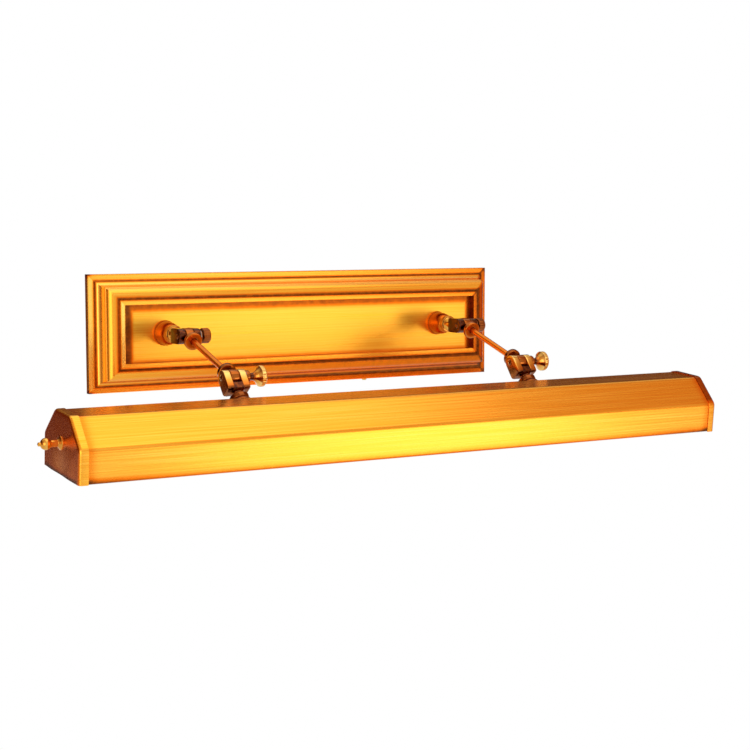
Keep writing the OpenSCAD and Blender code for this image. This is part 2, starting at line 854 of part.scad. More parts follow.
// The studs' places, at both ends under the flat top
module stud_places() {
    for (s = [-1, 1])
        for (t = [-1, 1])
            translate([s * bracket_stud_x, mid_y + t * bracket_stud_y, top_z - sheet_t]) children();
}

module stud_holes() {
    stud_places() translate([0, 0, -bracket_stud_l])
        cylinder(r = bracket_stud_r + hole_play, h = bracket_stud_l);
}

module shade_body() {
    mouth_w = shade_d - 2 * hem_w;
    color(brass) in_shade() {
        difference() {
            section(rounded(shade_outline, fold_r), body_l);
            section(rounded(inset(shade_outline, sheet_t), fold_r - sheet_t), body_l + 2 * cut);
            translate([-body_l / 2 - cut, mid_y - mouth_w / 2, mouth_z - cut])
                cube([body_l + 2 * cut, mouth_w, sheet_t + 2 * cut]);
            stem_holes();
        }
        stud_places() translate([0, 0, -bracket_stud_l])
            cylinder(r = bracket_stud_r, h = bracket_stud_l + sheet_t / 2);
    }
}

module end_cap(side) {
    outer = slip_play + flange_t;
    face = shade_l / 2;
    color(brass) in_shade() difference() {
        translate([side * (face - flange_w / 2), 0, 0])
            section(rounded(inset(shade_outline, -outer), fold_r + outer), flange_w);
        translate([side * (face - cap_t - flange_w / 2), 0, 0])
            section(rounded(inset(shade_outline, -slip_play), fold_r + slip_play), flange_w);
        translate([side * face - flange_w - cut, mid_y - shade_d, mouth_z - shade_h])
            cube([2 * (flange_w + cut), 2 * shade_d, shade_h]);
        translate([side * face, mid_y, knob_z]) rotate([0, 90, 0])
            cylinder(r = stud_r + hole_play, h = 4 * cap_t, center = true);
    }
}

// Angle inside the right end of the shade, with the stud that the end knob screws on
module end_bracket() {
    back = shade_l / 2 - cap_t;
    roof = top_z - under_sheet;
    foot = knob_z - bracket_foot;
    difference() {
        union() {
            translate([back - bracket_t, mid_y - bracket_w / 2, foot])
                cube([bracket_t, bracket_w, roof - foot]);
            translate([back - bracket_leg, mid_y - bracket_w / 2, roof - bracket_t])
                cube([bracket_leg, bracket_w, bracket_t]);
            translate([back - bracket_t, mid_y, knob_z]) rotate([0, 90, 0])
                cylinder(r = stud_r, h = bracket_t + cap_t + stud_l);
        }
        stud_holes();
    }
}

module left_end_bracket() color(steel) in_shade() mirror([1, 0, 0]) end_bracket();
module right_end_bracket() color(steel) in_shade() end_bracket();

module end_bracket_nuts() {
    seat = under_sheet - sheet_t + bracket_t;
    color(steel) in_shade() stud_places() translate([0, 0, -seat - bracket_nut_t])
        nut(bracket_nut_r, bracket_stud_r + turn_play, bracket_nut_t);
}

module reflector() {
    gap = 2;
    l = body_l - 2 * gap;
    notch = lamp_bracket_w + gap;
    color("#e8e8e4") in_shade() difference() {
        section(inset(shade_outline, sheet_t + slip_play), l);
        section(inset(shade_outline, under_sheet), l + 2 * cut);
        translate([-l / 2 - cut, mid_y - shade_d / 2, mouth_z - cut])
            cube([l + 2 * cut, shade_d, skirt_h + 2 * gap]);
        for (s = [-1, 1])
            translate([s * arm_x - notch / 2, mid_y + shade_top / 2 + gap, mouth_z])
                cube([notch, shade_d / 2, shade_h]);
        stud_holes();
    }
}

module shade_rose(side) {
    color(brass) along_stem(side) translate([0, 0, -stem_reach]) rose(shade_rose_r, shade_rose_h);
}

module shade_stem(side) {
    color(dark_brass) along_stem(side) stem(-shade_tail_end, shade_rose_h - stem_reach, -fork_root);
}

module shade_stem_washers() {
    seat = stem_reach + sheet_t + bracket_t + washer_t;
    color(steel)
        for (s = [-1, 1])
            along_stem(s) translate([0, 0, -seat]) washer(washer_r, tail_r + turn_play, washer_t);
}

module shade_stem_nuts() {
    seat = stem_reach + sheet_t + bracket_t + washer_t + nut_t;
    color(brass)
        for (s = [-1, 1])
            along_stem(s) translate([0, 0, -seat]) nut(nut_r, tail_r + turn_play, nut_t);
}

module shade_pivot_washers() {
    color(steel)
        for (s = [-1, 1])
            translate(shade_pivot) along_x(s * arm_x + fork_w / 2)
                washer(pivot_washer_r, pivot_r + turn_play, pivot_washer_t);
}

module left_shade_knob() color(dark_brass) translate(shade_pivot) along_x(-arm_x) shade_knob();
module right_shade_knob() color(dark_brass) translate(shade_pivot) along_x(arm_x) shade_knob();

// Angle clamped under the right stem's nut, with a plate that carries two lampholders
module lamp_bracket() {
    seat = -(stem_reach + sheet_t);
    half = lamp_bracket_h / 2;
    across = lamp_arm_w / 2 * [-sin(lead_dir), cos(lead_dir)];
    difference() {
        union() {
            translate([arm_x, 0, 0]) rotate([-slope_a, 0, 0])
                translate([-lamp_bracket_w / 2, -half, seat - bracket_t])
                    cube([lamp_bracket_w, lamp_bracket_h, bracket_t]);
            translate([lamp_plate_x + bracket_t / 2, 0, 0])
                section([
                    on_stem(edge_r - half, seat - bracket_t / 2),
                    on_stem(half - edge_r, seat - bracket_t / 2),
                    lamp_axis - across, lamp_axis + across
                ], bracket_t);
            translate([lamp_plate_x, lamp_y, lamp_z]) rotate([0, 90, 0])
                cylinder(r = holder_r, h = bracket_t);
        }
        translate([arm_x, 0, 0]) rotate([-slope_a, 0, 0]) translate([0, 0, seat - bracket_t - cut])
            cylinder(r = tail_r + slip_play, h = bracket_t + 2 * cut);
        translate([lamp_plate_x - cut, lamp_y, lamp_z]) rotate([0, 90, 0])
            cylinder(r = nipple_r + slip_play, h = bracket_t + 2 * cut);
    }
}

module left_lamp_bracket() color(steel) in_shade() mirror([1, 0, 0]) lamp_bracket();
module right_lamp_bracket() color(steel) in_shade() lamp_bracket();

module lampholder_nipples() {
    l = 2 * nipple_seat + bracket_t;
    color(brass) both() at_lamp(lamp_plate_x + bracket_t / 2) rotate([0, 90, 0])
        translate([0, 0, -l / 2]) washer(nipple_r, nipple_bore, l);
}

// Lampholder along Z from its foot, with room for the nipple and the lamp's cap
module lampholder_shell() {
    rim = holder_r + 1.5 * band_w;
    band_to = band_l + band_w;
    seat_r = nipple_r + slip_play;
    cap_bore = lamp_cap_r + cap_play;
    rotate_extrude()
        polygon([
            [seat_r, 0], [holder_r, 0], [holder_r + band_w, band_w], [holder_r + band_w, band_l],
            [holder_r, band_to], [holder_r, holder_l - band_l], [rim, holder_l - band_l + band_w],
            [rim, holder_l - edge_r], [rim - edge_r, holder_l], [cap_bore, holder_l],
            [cap_bore, cap_seat], [nipple_bore, cap_seat], [nipple_bore, nipple_seat],
            [seat_r, nipple_seat]
        ]);
}

// The four lamps in a row: place of the foot and direction
function lamp_side(i) = i < 3 ? -1 : 1;
function lamp_out(i) = (i == 1 || i == 4);
module lamp_place(i) {
    s = lamp_side(i);
    x = lamp_out(i) ? lamp_plate_x + bracket_t : lamp_plate_x;
    turn = lamp_out(i) ? s : -s;
    at_lamp(s * x) rotate([0, 90 * turn, 0]) children();
}

module lampholder(i) {
    color("#1d1d1d") difference() {
        lamp_place(i) lampholder_shell();
        if (lamp_out(i))
            at_lamp(lamp_side(i) * lead_x) rotate([lead_dir - 90, 0, 0]) translate([0, 0, nipple_r])
                cylinder(r = lead_r + hole_play, h = holder_r);
    }
}

module lamp(i) {
    foot = holder_l + lamp_gap + lamp_flange;
    barrel = foot + lamp_neck_l;
    tip = foot + lamp_l;
    dome = [for (k = [0:arc_steps]) let (a = 90 * k / arc_steps) [cos(a), sin(a)]];
    inner_r = lamp_r - glass_t;
    color("#f4f1e6", 0.6) lamp_place(i) rotate_extrude()
        polygon(concat(
            [[lamp_neck_r - glass_t, foot], [lamp_neck_r, foot], [lamp_r, barrel]],
            [for (p = dome) [lamp_r * p[0], tip - lamp_r + lamp_r * p[1]]],
            [for (k = [arc_steps:-1:0]) [inner_r * dome[k][0], tip - lamp_r + inner_r * dome[k][1]]],
            [[inner_r, barrel]]
        ));
}

module lamp_caps() {
    top = holder_l + lamp_gap;
    color(brass)
        for (i = [1:4])
            lamp_place(i) rotate_extrude()
                polygon([
                    [0, cap_seat], [lamp_cap_r - lamp_flange, cap_seat],
                    [lamp_cap_r, cap_seat + lamp_flange], [lamp_cap_r, top], [lamp_neck_r, top],
                    [lamp_neck_r, top + lamp_flange], [0, top + lamp_flange]
                ]);
}

module shade_lead() color("#e4ddcc") tube(curve(shade_route, 4), lead_r, [1, 0.2, 0]);
module left_shade_lead() in_shade() mirror([1, 0, 0]) shade_lead();
module right_shade_lead() in_shade() shade_lead();

plate_moulding();
plate_panel();
panel_screws();
hanging_rail();
wall_bracket();
plate_fixing_screws();
cable_grommet();
terminal_block();
terminal_screws();
earth_screw();
left_wall_lead();
right_wall_lead();
wall_rose(-1);  // left_wall_rose
wall_rose(1);  // right_wall_rose
wall_stem(-1);  // left_wall_stem
wall_stem(1);  // right_wall_stem
wall_stem_washers();
wall_stem_nuts();
wall_pivot_washers();
left_wall_knob();
right_wall_knob();
arm_rod(-1);  // left_arm_rod
arm_upper_eye(-1);  // left_arm_upper_eye
arm_lower_eye(-1);  // left_arm_lower_eye
arm_rod(1);  // right_arm_rod
arm_upper_eye(1);  // right_arm_upper_eye
arm_lower_eye(1);  // right_arm_lower_eye
shade_body();
end_cap(-1);  // left_end_cap
end_cap(1);  // right_end_cap
end_knob(-1);  // left_end_knob
end_knob(1);  // right_end_knob
left_end_bracket();
right_end_bracket();
end_bracket_nuts();
reflector();
shade_rose(-1);  // left_shade_rose
shade_rose(1);  // right_shade_rose
shade_stem(-1);  // left_shade_stem
shade_stem(1);  // right_shade_stem
shade_stem_washers();
shade_stem_nuts();
shade_pivot_washers();
left_shade_knob();
right_shade_knob();
left_lamp_bracket();
right_lamp_bracket();
lampholder_nipples();
lampholder(1);  // lampholder_1
lampholder(2);  // lampholder_2
lampholder(3);  // lampholder_3
lampholder(4);  // lampholder_4
lamp(1);  // lamp_1
lamp(2);  // lamp_2
lamp(3);  // lamp_3
lamp(4);  // lamp_4
lamp_caps();
left_shade_lead();
right_shade_lead();
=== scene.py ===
import json
import math
import bmesh
import bpy
import numpy as np
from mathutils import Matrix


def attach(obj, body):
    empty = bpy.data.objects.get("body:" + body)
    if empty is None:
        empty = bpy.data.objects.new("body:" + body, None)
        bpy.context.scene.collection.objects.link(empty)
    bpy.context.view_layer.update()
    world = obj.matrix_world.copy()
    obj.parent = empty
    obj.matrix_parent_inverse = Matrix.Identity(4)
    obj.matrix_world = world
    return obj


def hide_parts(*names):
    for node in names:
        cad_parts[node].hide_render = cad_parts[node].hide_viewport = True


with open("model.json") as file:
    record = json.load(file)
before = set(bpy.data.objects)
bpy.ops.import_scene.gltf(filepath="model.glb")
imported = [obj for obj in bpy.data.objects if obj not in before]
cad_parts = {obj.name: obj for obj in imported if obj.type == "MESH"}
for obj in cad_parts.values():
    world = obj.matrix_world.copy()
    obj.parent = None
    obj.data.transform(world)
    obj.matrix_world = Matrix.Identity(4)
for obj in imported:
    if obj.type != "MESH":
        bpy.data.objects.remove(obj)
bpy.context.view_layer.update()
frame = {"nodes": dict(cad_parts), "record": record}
nodes = frame["nodes"]
scene = bpy.context.scene
scene.view_settings.view_transform = "Standard"
mm = 0.001
mergeWithin = {"doubles": 2e-6, "edges": 1e-7, "weld": 1e-5}  # in metres
sides = (("left", -1), ("right", 1))  # with their signs along X
print("frame loaded:", len(nodes), "nodes")

# sizes and places that several pieces share, in mm: X along the wall, Y into the wall, Z up
place = {
    "armX": 171, "panel": 23, "upperPivot": 83, "armLength": 110, "armDrop": 18,
    "shadeTilt": 5, "stemReach": 35, "shadeDepth": 90, "shadeTop": 38, "shadeHeight": 56,
    "skirtHeight": 31, "shadeLength": 729, "shadeSheet": 1.2, "flange": 9, "lampDrop": 27,
}


# turn about X by an angle in degrees, as a 3 by 3 matrix
def turnX(angle):
    c, s = math.cos(math.radians(angle)), math.sin(math.radians(angle))
    return np.array([[1, 0, 0], [0, c, -s], [0, s, c]])


alongX = np.array([[0, 0, 1], [1, 0, 0], [0, 1, 0]])  # local Z becomes world X
againstX = alongX @ turnX(180)
outOfWall = turnX(90)  # local Z points away from the wall
drop = math.radians(place["armDrop"])
upperPivot = np.array([0, -place["upperPivot"], 0])
lowerPivot = upperPivot - place["armLength"] * np.array([0, math.cos(drop), math.sin(drop)])
alongArm = turnX(90 + place["armDrop"])

# the shade's section before its tilt, measured from the lower pivot
halfDepth, halfTop, capFace = place["shadeDepth"] / 2, place["shadeTop"] / 2, place["shadeLength"] / 2
slopeY = halfDepth - halfTop
slopeZ = place["shadeHeight"] - place["skirtHeight"]
slopeAngle = math.degrees(math.atan2(slopeZ, slopeY))
slopeSin, slopeCos = math.sin(math.radians(slopeAngle)), math.cos(math.radians(slopeAngle))
midY = -(halfTop + slopeY / 2 + place["stemReach"] * slopeSin)
topZ = slopeZ / 2 - place["stemReach"] * slopeCos
mouthZ = topZ - place["shadeHeight"]
kneeZ = mouthZ + place["skirtHeight"]
inShade = turnX(place["shadeTilt"])
alongStem = turnX(place["shadeTilt"] - slopeAngle)


# corners of an outline swapped for short curves, (1-t)^2 A + 2t(1-t) P + t^2 B, where A and B stand
# back from the corner P by the cut, and never past the middle of a side; the first and last points stay
def softened(points, cut, steps=4):
    p = np.asarray(points, float)
    back, ahead = np.roll(p, 1, 0) - p, np.roll(p, -1, 0) - p
    backLen, aheadLen = (np.maximum(np.linalg.norm(way, axis=1), 1e-9) for way in (back, ahead))
    reach = np.minimum(np.broadcast_to(cut, len(p)), 0.49 * np.minimum(backLen, aheadLen))
    a = p + back * (reach / backLen)[:, None]
    b = p + ahead * (reach / aheadLen)[:, None]
    t = np.linspace(0, 1, steps + 1)[None, :, None]
    bends = (1 - t) ** 2 * a[:, None] + 2 * t * (1 - t) * p[:, None] + t ** 2 * b[:, None]
    return np.concatenate([p[:1], bends[1:-1].reshape(-1, p.shape[1]), p[-1:]])


# each side of a line parted evenly into steps, so that colour carried by its points stays smooth
def filled(line, step):
    sizes = np.linalg.norm(np.diff(line, axis=0), axis=1)
    parts = np.maximum(np.ceil(sizes / step), 1).astype(int)
    side = np.repeat(np.arange(len(parts)), parts)
    within = np.arange(parts.sum()) - np.repeat(np.cumsum(parts) - parts, parts)
    t = (within / parts[side])[:, None]
    return np.concatenate([(1 - t) * line[side] + t * line[side + 1], line[-1:]])


# evenly spaced angles, once round
def onceRound(count):
    return np.linspace(0, 2 * math.pi, count, endpoint=False)


# each row of an array brought to a length of 1
def unit(rows):
    return rows / np.linalg.norm(rows, axis=1)[:, None]


# 1 at no distance, less further off: exp(-(distance / reach)^p)
def fallOff(distance, reach, power=2):
    return np.exp(-(distance / reach) ** power)


# soft bands across a section: each has a centre, a width and a strength
def bands(lines, across):
    return sum(strength * fallOff(across - centre, width) for centre, width, strength in lines)


# quads of a grid: each row joined to the next, closed round where asked
def gridFaces(rows, cols, closeRows, closeCols):
    r, c = np.meshgrid(np.arange(rows - 1 + closeRows), np.arange(cols - 1 + closeCols), indexing="ij")
    r1, c1 = (r + 1) % rows, (c + 1) % cols
    return np.stack([r * cols + c, r * cols + c1, r1 * cols + c1, r1 * cols + c], -1).reshape(-1, 4)


# quads across a closed loop of n points whose second half runs back along its first
def ladder(n):
    i = np.arange(n // 2 - 1)
    return np.stack([i, i + 1, n - 2 - i, n - 1 - i], -1)


# one closed skin from a grid of points; its painted-light value is a share of painted shade at each point
# and a painted highlight where it is under 0; lay is the place in the metal's grain, which runs along its
# first value
def skin(grid, closeRows=False, closeCols=True, shadeAndSheen=0.0, lay=None, caps=None):
    rows, cols = grid.shape[:2]
    faces = gridFaces(rows, cols, closeRows, closeCols)
    if caps is not None:
        faces = np.concatenate([faces, caps])
    dark = np.broadcast_to(shadeAndSheen, (rows, cols))
    grain = grid if lay is None else lay
    return {"points": grid.reshape(-1, 3), "faces": faces,
            "shadeAndSheen": dark.reshape(-1), "lay": grain.reshape(-1, 3)}


# skins turned, then shifted; their painted shade and highlight values and lay stay as they are
def moved(parts, turn=np.eye(3), at=(0, 0, 0)):
    return [dict(part, points=part["points"] @ turn.T + np.asarray(at, float)) for part in parts]


# profile of radius and height turned round Z: (r cos a, r sin a, h); a radius of 0 makes a closed pole.
# grip gives count, depth, from and to of flutes, which take depth * (1 - |sin|)^2 off the radius; the grain
# runs round the piece, or along it where it is drawn tube
def turned(profile, around=96, closed=False, grip=None, hollowShade=0.0, shadeAndSheen=0.0, drawn=False):
    p = np.asarray(profile, float)
    a = onceRound(around)[None, :]
    r = np.repeat(p[:, :1], around, 1)
    if grip is not None:
        count, depth, low, high = grip
        on = (p[:, 1] > low) & (p[:, 1] < high)
        r = r - on[:, None] * depth * (1 - np.abs(np.sin(count * a / 2))) ** 2
    grid = np.stack([r * np.cos(a), r * np.sin(a), np.repeat(p[:, 1:2], around, 1)], -1)
    near = 6  # points on each side that a radius is compared with
    share = np.ones(2 * near + 1) / (2 * near + 1)
    wide = np.convolve(np.pad(p[:, 0], near, mode="edge"), share, "valid")
    # painted shade: darker where the profile is waisted
    hollow = hollowShade * (wide - p[:, 0])  # more where the profile is waisted
    dark = np.clip(shadeAndSheen + hollow, np.minimum(shadeAndSheen, 0), 1)[:, None]
    lay = grid[..., [2, 0, 1]] if drawn else np.stack([0 * r, grid[..., 2], r], -1)
    return skin(grid, closeRows=closed, shadeAndSheen=dark, lay=lay)


# two lines of a sheet's section, outer and inner, drawn along X; quads between the lines close the ends
def sheetAlongX(outer, inner, stations, shadeAndSheen):
    loop = np.concatenate([outer, inner[::-1]])
    n, k = len(loop), len(stations)
    grid = np.zeros((k, n, 3))
    grid[:, :, 0] = stations[:, None]
    grid[:, :, 1:] = loop[None]
    first = ladder(n)
    return skin(grid, shadeAndSheen=shadeAndSheen, caps=np.concatenate([first, first + (k - 1) * n]))


# inward offset of an open line of (y, z) points that runs up the front, over the top and down the back
def insetLine(line, distance):
    t = unit(np.gradient(line, axis=0))
    return line + distance * np.stack([t[:, 1], -t[:, 0]], -1)


# rounded box: each direction d of a globe grid reaches (|dx/a|^p + |dy/b|^p + |dz/c|^p)^(-1/p)
def softBox(half, at, shadeAndSheen, power=14, around=64, rows=33):
    lon = onceRound(around)[None, :]
    lat = np.linspace(-math.pi / 2, math.pi / 2, rows)[:, None]
    d = np.stack([np.cos(lat) * np.cos(lon), np.cos(lat) * np.sin(lon), np.sin(lat) + 0 * lon], -1)
    reach = (np.abs(d / np.asarray(half, float)) ** power).sum(-1) ** (-1 / power)
    return moved([skin(d * reach[..., None], shadeAndSheen=shadeAndSheen)], at=at)


# smooth line through given points: between b and c, with a before and d after them, it is
# half of 2b + (c - a) t + (2a - 5b + 4c - d) t^2 + (3b - a - 3c + d) t^3
def throughPoints(points, steps):
    p = np.asarray(points, float)
    before = np.concatenate([p[:1], p[:-2]])
    after = np.concatenate([p[2:], p[-1:]])
    a, b, c, d = before[:, None], p[:-1, None], p[1:, None], after[:, None]
    t = np.linspace(0, 1, steps, endpoint=False)[None, :, None]
    bend, twist = 2 * a - 5 * b + 4 * c - d, 3 * b - a - 3 * c + d
    line = 0.5 * (2 * b + (c - a) * t + bend * t ** 2 + twist * t ** 3)
    return np.concatenate([line.reshape(-1, 3), p[-1:]])


# round wire: a circle square to the line at each of its points; both ends close on the line itself
def wire(line, radius, guide, around=16):
    t = unit(np.gradient(line, axis=0))
    u = unit(np.cross(t, guide))
    w = np.cross(t, u)
    a = onceRound(around)[None, :, None]
    grid = line[:, None] + radius * (np.cos(a) * u[:, None] + np.sin(a) * w[:, None])
    ends = np.repeat(line[[0, -1], None], around, 1)
    return skin(np.concatenate([ends[:1], grid, ends[1:]]))


# skins joined into one piece, doubles merged, faces turned outwards, in place of a CAD node
def makePiece(name, parts, body, finish, standsFor, sharp=35):
    counts = np.cumsum([0] + [len(p["points"]) for p in parts])
    points = np.concatenate([p["points"] for p in parts]) * mm
    faces = np.concatenate([p["faces"] + n for p, n in zip(parts, counts)])
    mesh = bpy.data.meshes.new(name)
    mesh.from_pydata(points.tolist(), [], faces.tolist())
    dark = mesh.attributes.new("shadeAndSheen", "FLOAT", "POINT")
    dark.data.foreach_set("value", np.concatenate([p["shadeAndSheen"] for p in parts]).astype(np.float32))
    grain = mesh.attributes.new("lay", "FLOAT_VECTOR", "POINT")
    lay = np.concatenate([p["lay"] for p in parts]) * mm
    grain.data.foreach_set("vector", lay.astype(np.float32).ravel())
    build = bmesh.new()
    build.from_mesh(mesh)
    bmesh.ops.remove_doubles(build, verts=build.verts, dist=mergeWithin["doubles"])
    bmesh.ops.dissolve_degenerate(build, edges=build.edges, dist=mergeWithin["edges"])
    bmesh.ops.recalc_face_normals(build, faces=build.faces)
    build.to_mesh(mesh)
    build.free()
    mesh.polygons.foreach_set("use_smooth", np.ones(len(mesh.polygons), bool))
    mesh.set_sharp_from_angle(angle=math.radians(sharp))
    mesh.materials.append(finish)
    piece = bpy.data.objects.new(name, mesh)
    scene.collection.objects.link(piece)
    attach(piece, body)
    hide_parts(standsFor)


# a node with its settings and its fixed inputs
def addNode(tree, kind, **values):
    node = tree.nodes.new(kind)
    for key, value in values.items():
        if hasattr(node, key):
            setattr(node, key, value)
        else:
            node.inputs[key.replace("_", " ")].default_value = value
    return node


def findNode(tree, kind):
    return next(n for n in tree.nodes if n.type == kind)


def newMaterial(name):
    material = bpy.data.materials.new(name)
    material.use_nodes = True
    tree = material.node_tree
    coords = tree.nodes.new("ShaderNodeTexCoord").outputs["Object"]
    return material, tree, findNode(tree, "BSDF_PRINCIPLED"), coords


# noise on the given coordinates, stretched by one scale or by one for each axis
def noiseOn(tree, coords, stretch, detail=4.0, rough=0.55):
    mapping = addNode(tree, "ShaderNodeMapping", Scale=np.broadcast_to(stretch, 3).tolist())
    noise = addNode(tree, "ShaderNodeTexNoise", Scale=1.0, Detail=detail, Roughness=rough)
    tree.links.new(coords, mapping.inputs["Vector"])
    tree.links.new(mapping.outputs["Vector"], noise.inputs["Vector"])
    return noise.outputs["Fac"]


def ramp(tree, value, stops):
    node = tree.nodes.new("ShaderNodeValToRGB")
    band = node.color_ramp
    for k, (at, colour) in enumerate(stops):
        stop = band.elements[k] if k < 2 else band.elements.new(at)  # a new ramp has two stops
        stop.position = at
        stop.color = (*colour, 1)
    tree.links.new(value, node.inputs["Fac"])
    return node.outputs["Color"]


def spread(tree, value, low, high, fromLow=0.3, fromHigh=0.7):
    node = addNode(tree, "ShaderNodeMapRange")
    for key, number in zip(("From Min", "From Max", "To Min", "To Max"), (fromLow, fromHigh, low, high)):
        node.inputs[key].default_value = number
    tree.links.new(value, node.inputs["Value"])
    return node.outputs["Result"]


def mathNode(tree, operation, a, b):
    node = addNode(tree, "ShaderNodeMath", operation=operation, use_clamp=True)
    for socket, value in zip(node.inputs, (a, b)):
        tree.links.new(value, socket)
    return node.outputs[0]


# the mix node's colours are its inputs 6 and 7 and its output 2
def mixColour(tree, factor, a, b, kind="MIX"):
    node = addNode(tree, "ShaderNodeMix", data_type="RGBA", blend_type=kind)
    for socket, value in ((node.inputs[0], factor), (node.inputs[6], a), (node.inputs[7], b)):
        if isinstance(value, bpy.types.NodeSocket):
            tree.links.new(value, socket)
        else:
            socket.default_value = value if isinstance(value, float) else (*value, 1)
    return node.outputs[2]


def addBump(tree, shader, height, strength, distance):
    bump = addNode(tree, "ShaderNodeBump", Strength=strength, Distance=distance)
    tree.links.new(height, bump.inputs["Height"])
    tree.links.new(bump.outputs["Normal"], shader.inputs["Normal"])


# brass: drawn streaks and slow cloudiness in the colour; over 0 the attribute paints shade, amber then dark
# brown, and under 0 a painted highlight of pale metal; roughness follows the streaks, with a fine grain in
# the bump
def brassFinish(name, look):
    material, tree, shader, coords = newMaterial(name)
    if look["laid"]:
        coords = addNode(tree, "ShaderNodeAttribute", attribute_name="lay").outputs["Vector"]
    streak = noiseOn(tree, coords, look["streak"], detail=5.0)
    cloud = noiseOn(tree, coords, look["cloud"], detail=2.0)
    speck = noiseOn(tree, coords, look["speck"], detail=3.0, rough=0.7)
    tone = ramp(tree, streak, ((0.36, look["deep"]), (0.52, look["bright"]), (0.68, look["pale"])))
    warm = mixColour(tree, spread(tree, cloud, 0.0, look["cloudy"]), tone, look["deep"])
    shadePaint = addNode(tree, "ShaderNodeAttribute", attribute_name="shadeAndSheen").outputs["Fac"]
    paintedSheen = mixColour(tree, spread(tree, shadePaint, 1.0, 0.0, -1.0, 0.0), warm, look["paintedSheen"])
    patchy = mathNode(tree, "MULTIPLY", shadePaint, spread(tree, speck, 0.88, 1.08))
    amber = mixColour(tree, spread(tree, patchy, 0.0, 1.0, 0.0, 0.5), paintedSheen, look["amber"])
    brown = mixColour(tree, spread(tree, patchy, 0.0, 1.0, 0.5, 1.0), amber, look["shadePaint"])
    tree.links.new(brown, shader.inputs["Base Color"])
    shader.inputs["Metallic"].default_value = 1.0
    tree.links.new(spread(tree, streak, look["smooth"], look["rough"]), shader.inputs["Roughness"])
    grain = noiseOn(tree, coords, look["grain"], detail=6.0, rough=0.6)
    addBump(tree, shader, grain, look["bump"], distance=0.0004)
    return material


# in these looks the amber, the dark brown and the rubbed colours are painted shade and painted highlight
satin = {
    "streak": (6, 700, 700), "cloud": (3, 26, 26), "speck": 160, "grain": (40, 2600, 2600),
    "deep": (0.88, 0.35, 0.025), "bright": (0.93, 0.43, 0.045), "pale": (0.96, 0.50, 0.07),
    "amber": (0.80, 0.17, 0.006), "shadePaint": (0.15, 0.04, 0.008), "paintedSheen": (0.97, 0.60, 0.15),
    "cloudy": 0.3, "smooth": 0.22, "rough": 0.3, "bump": 0.04, "laid": True,
}
# painted highlight: a yellower, brighter copy of the satin brass, standing in for the panel's reflection
panelLitLook = dict(satin, smooth=0.27, rough=0.36, deep=(0.90, 0.42, 0.032),
                 bright=(0.95, 0.52, 0.055), pale=(0.97, 0.59, 0.08))
polished = {
    "streak": 60, "cloud": 40, "speck": 300, "grain": 900,
    "deep": (0.46, 0.16, 0.03), "bright": (0.80, 0.40, 0.06), "pale": (0.92, 0.55, 0.12),
    "amber": (0.50, 0.14, 0.02), "shadePaint": (0.05, 0.016, 0.014), "paintedSheen": (0.95, 0.68, 0.25),
    "cloudy": 0.6, "smooth": 0.08, "rough": 0.16, "bump": 0.04, "laid": True,
}
turnedLook = dict(polished, laid=False, smooth=0.22, rough=0.36,
                  bright=(0.80, 0.55, 0.19), deep=(0.62, 0.38, 0.10))
satinBrass = brassFinish("satinBrass", satin)
panelBrass = brassFinish("panelBrass", panelLitLook)
polishedBrass = brassFinish("polishedBrass", polished)
turnedBrass = brassFinish("turnedBrass", turnedLook)


# plain stuff: two tones mixed by a noise, roughness from a second noise, a faint grain
def plainFinish(name, look):
    material, tree, shader, coords = newMaterial(name)
    cloud = noiseOn(tree, coords, look["cloud"])
    speck = noiseOn(tree, coords, look["speck"], detail=5.0, rough=0.65)
    tone = ramp(tree, cloud, ((0.35, look["dark"]), (0.65, look["light"])))
    tree.links.new(tone, shader.inputs["Base Color"])
    shader.inputs["Metallic"].default_value = look.get("metal", 0.0)
    shader.inputs["Transmission Weight"].default_value = look.get("clear", 0.0)
    tree.links.new(spread(tree, speck, look["smooth"], look["rough"]), shader.inputs["Roughness"])
    addBump(tree, shader, speck, look["bump"], distance=0.0003)
    return material


sheen = {"smooth": 0.35, "rough": 0.5, "bump": 0.08}  # of moulded plastic
plainLooks = {
    "zincSteel": {"cloud": 90, "speck": (40, 700, 700), "dark": (0.42, 0.43, 0.42),
                  "light": (0.62, 0.62, 0.59), "metal": 1.0, "smooth": 0.3, "rough": 0.48, "bump": 0.1},
    "whiteEnamel": {"cloud": (14, 40, 40), "speck": 500, "dark": (0.68, 0.675, 0.65),
                    "light": (0.77, 0.765, 0.74), "smooth": 0.25, "rough": 0.4, "bump": 0.05},
    "blackRubber": {"cloud": 200, "speck": 900, "dark": (0.012, 0.012, 0.012),
                    "light": (0.03, 0.03, 0.028), "smooth": 0.55, "rough": 0.75, "bump": 0.25},
    "creamPlastic": dict(sheen, cloud=120, speck=600, dark=(0.66, 0.61, 0.48), light=(0.76, 0.72, 0.60)),
    "brownSheath": dict(sheen, cloud=60, speck=700, dark=(0.045, 0.022, 0.012), light=(0.075, 0.04, 0.022)),
    "paleSheath": dict(sheen, cloud=60, speck=700, dark=(0.58, 0.53, 0.42), light=(0.70, 0.66, 0.55)),
    "blackBakelite": {"cloud": 70, "speck": 800, "dark": (0.010, 0.008, 0.007),
                      "light": (0.030, 0.022, 0.018), "smooth": 0.18, "rough": 0.32, "bump": 0.05},
    "frostedGlass": {"cloud": 50, "speck": 1200, "dark": (0.90, 0.87, 0.79), "light": (0.95, 0.93, 0.87),
                     "clear": 0.3, "smooth": 0.18, "rough": 0.3, "bump": 0.06},
}
plain = {name: plainFinish(name, look) for name, look in plainLooks.items()}
print("finishes made")


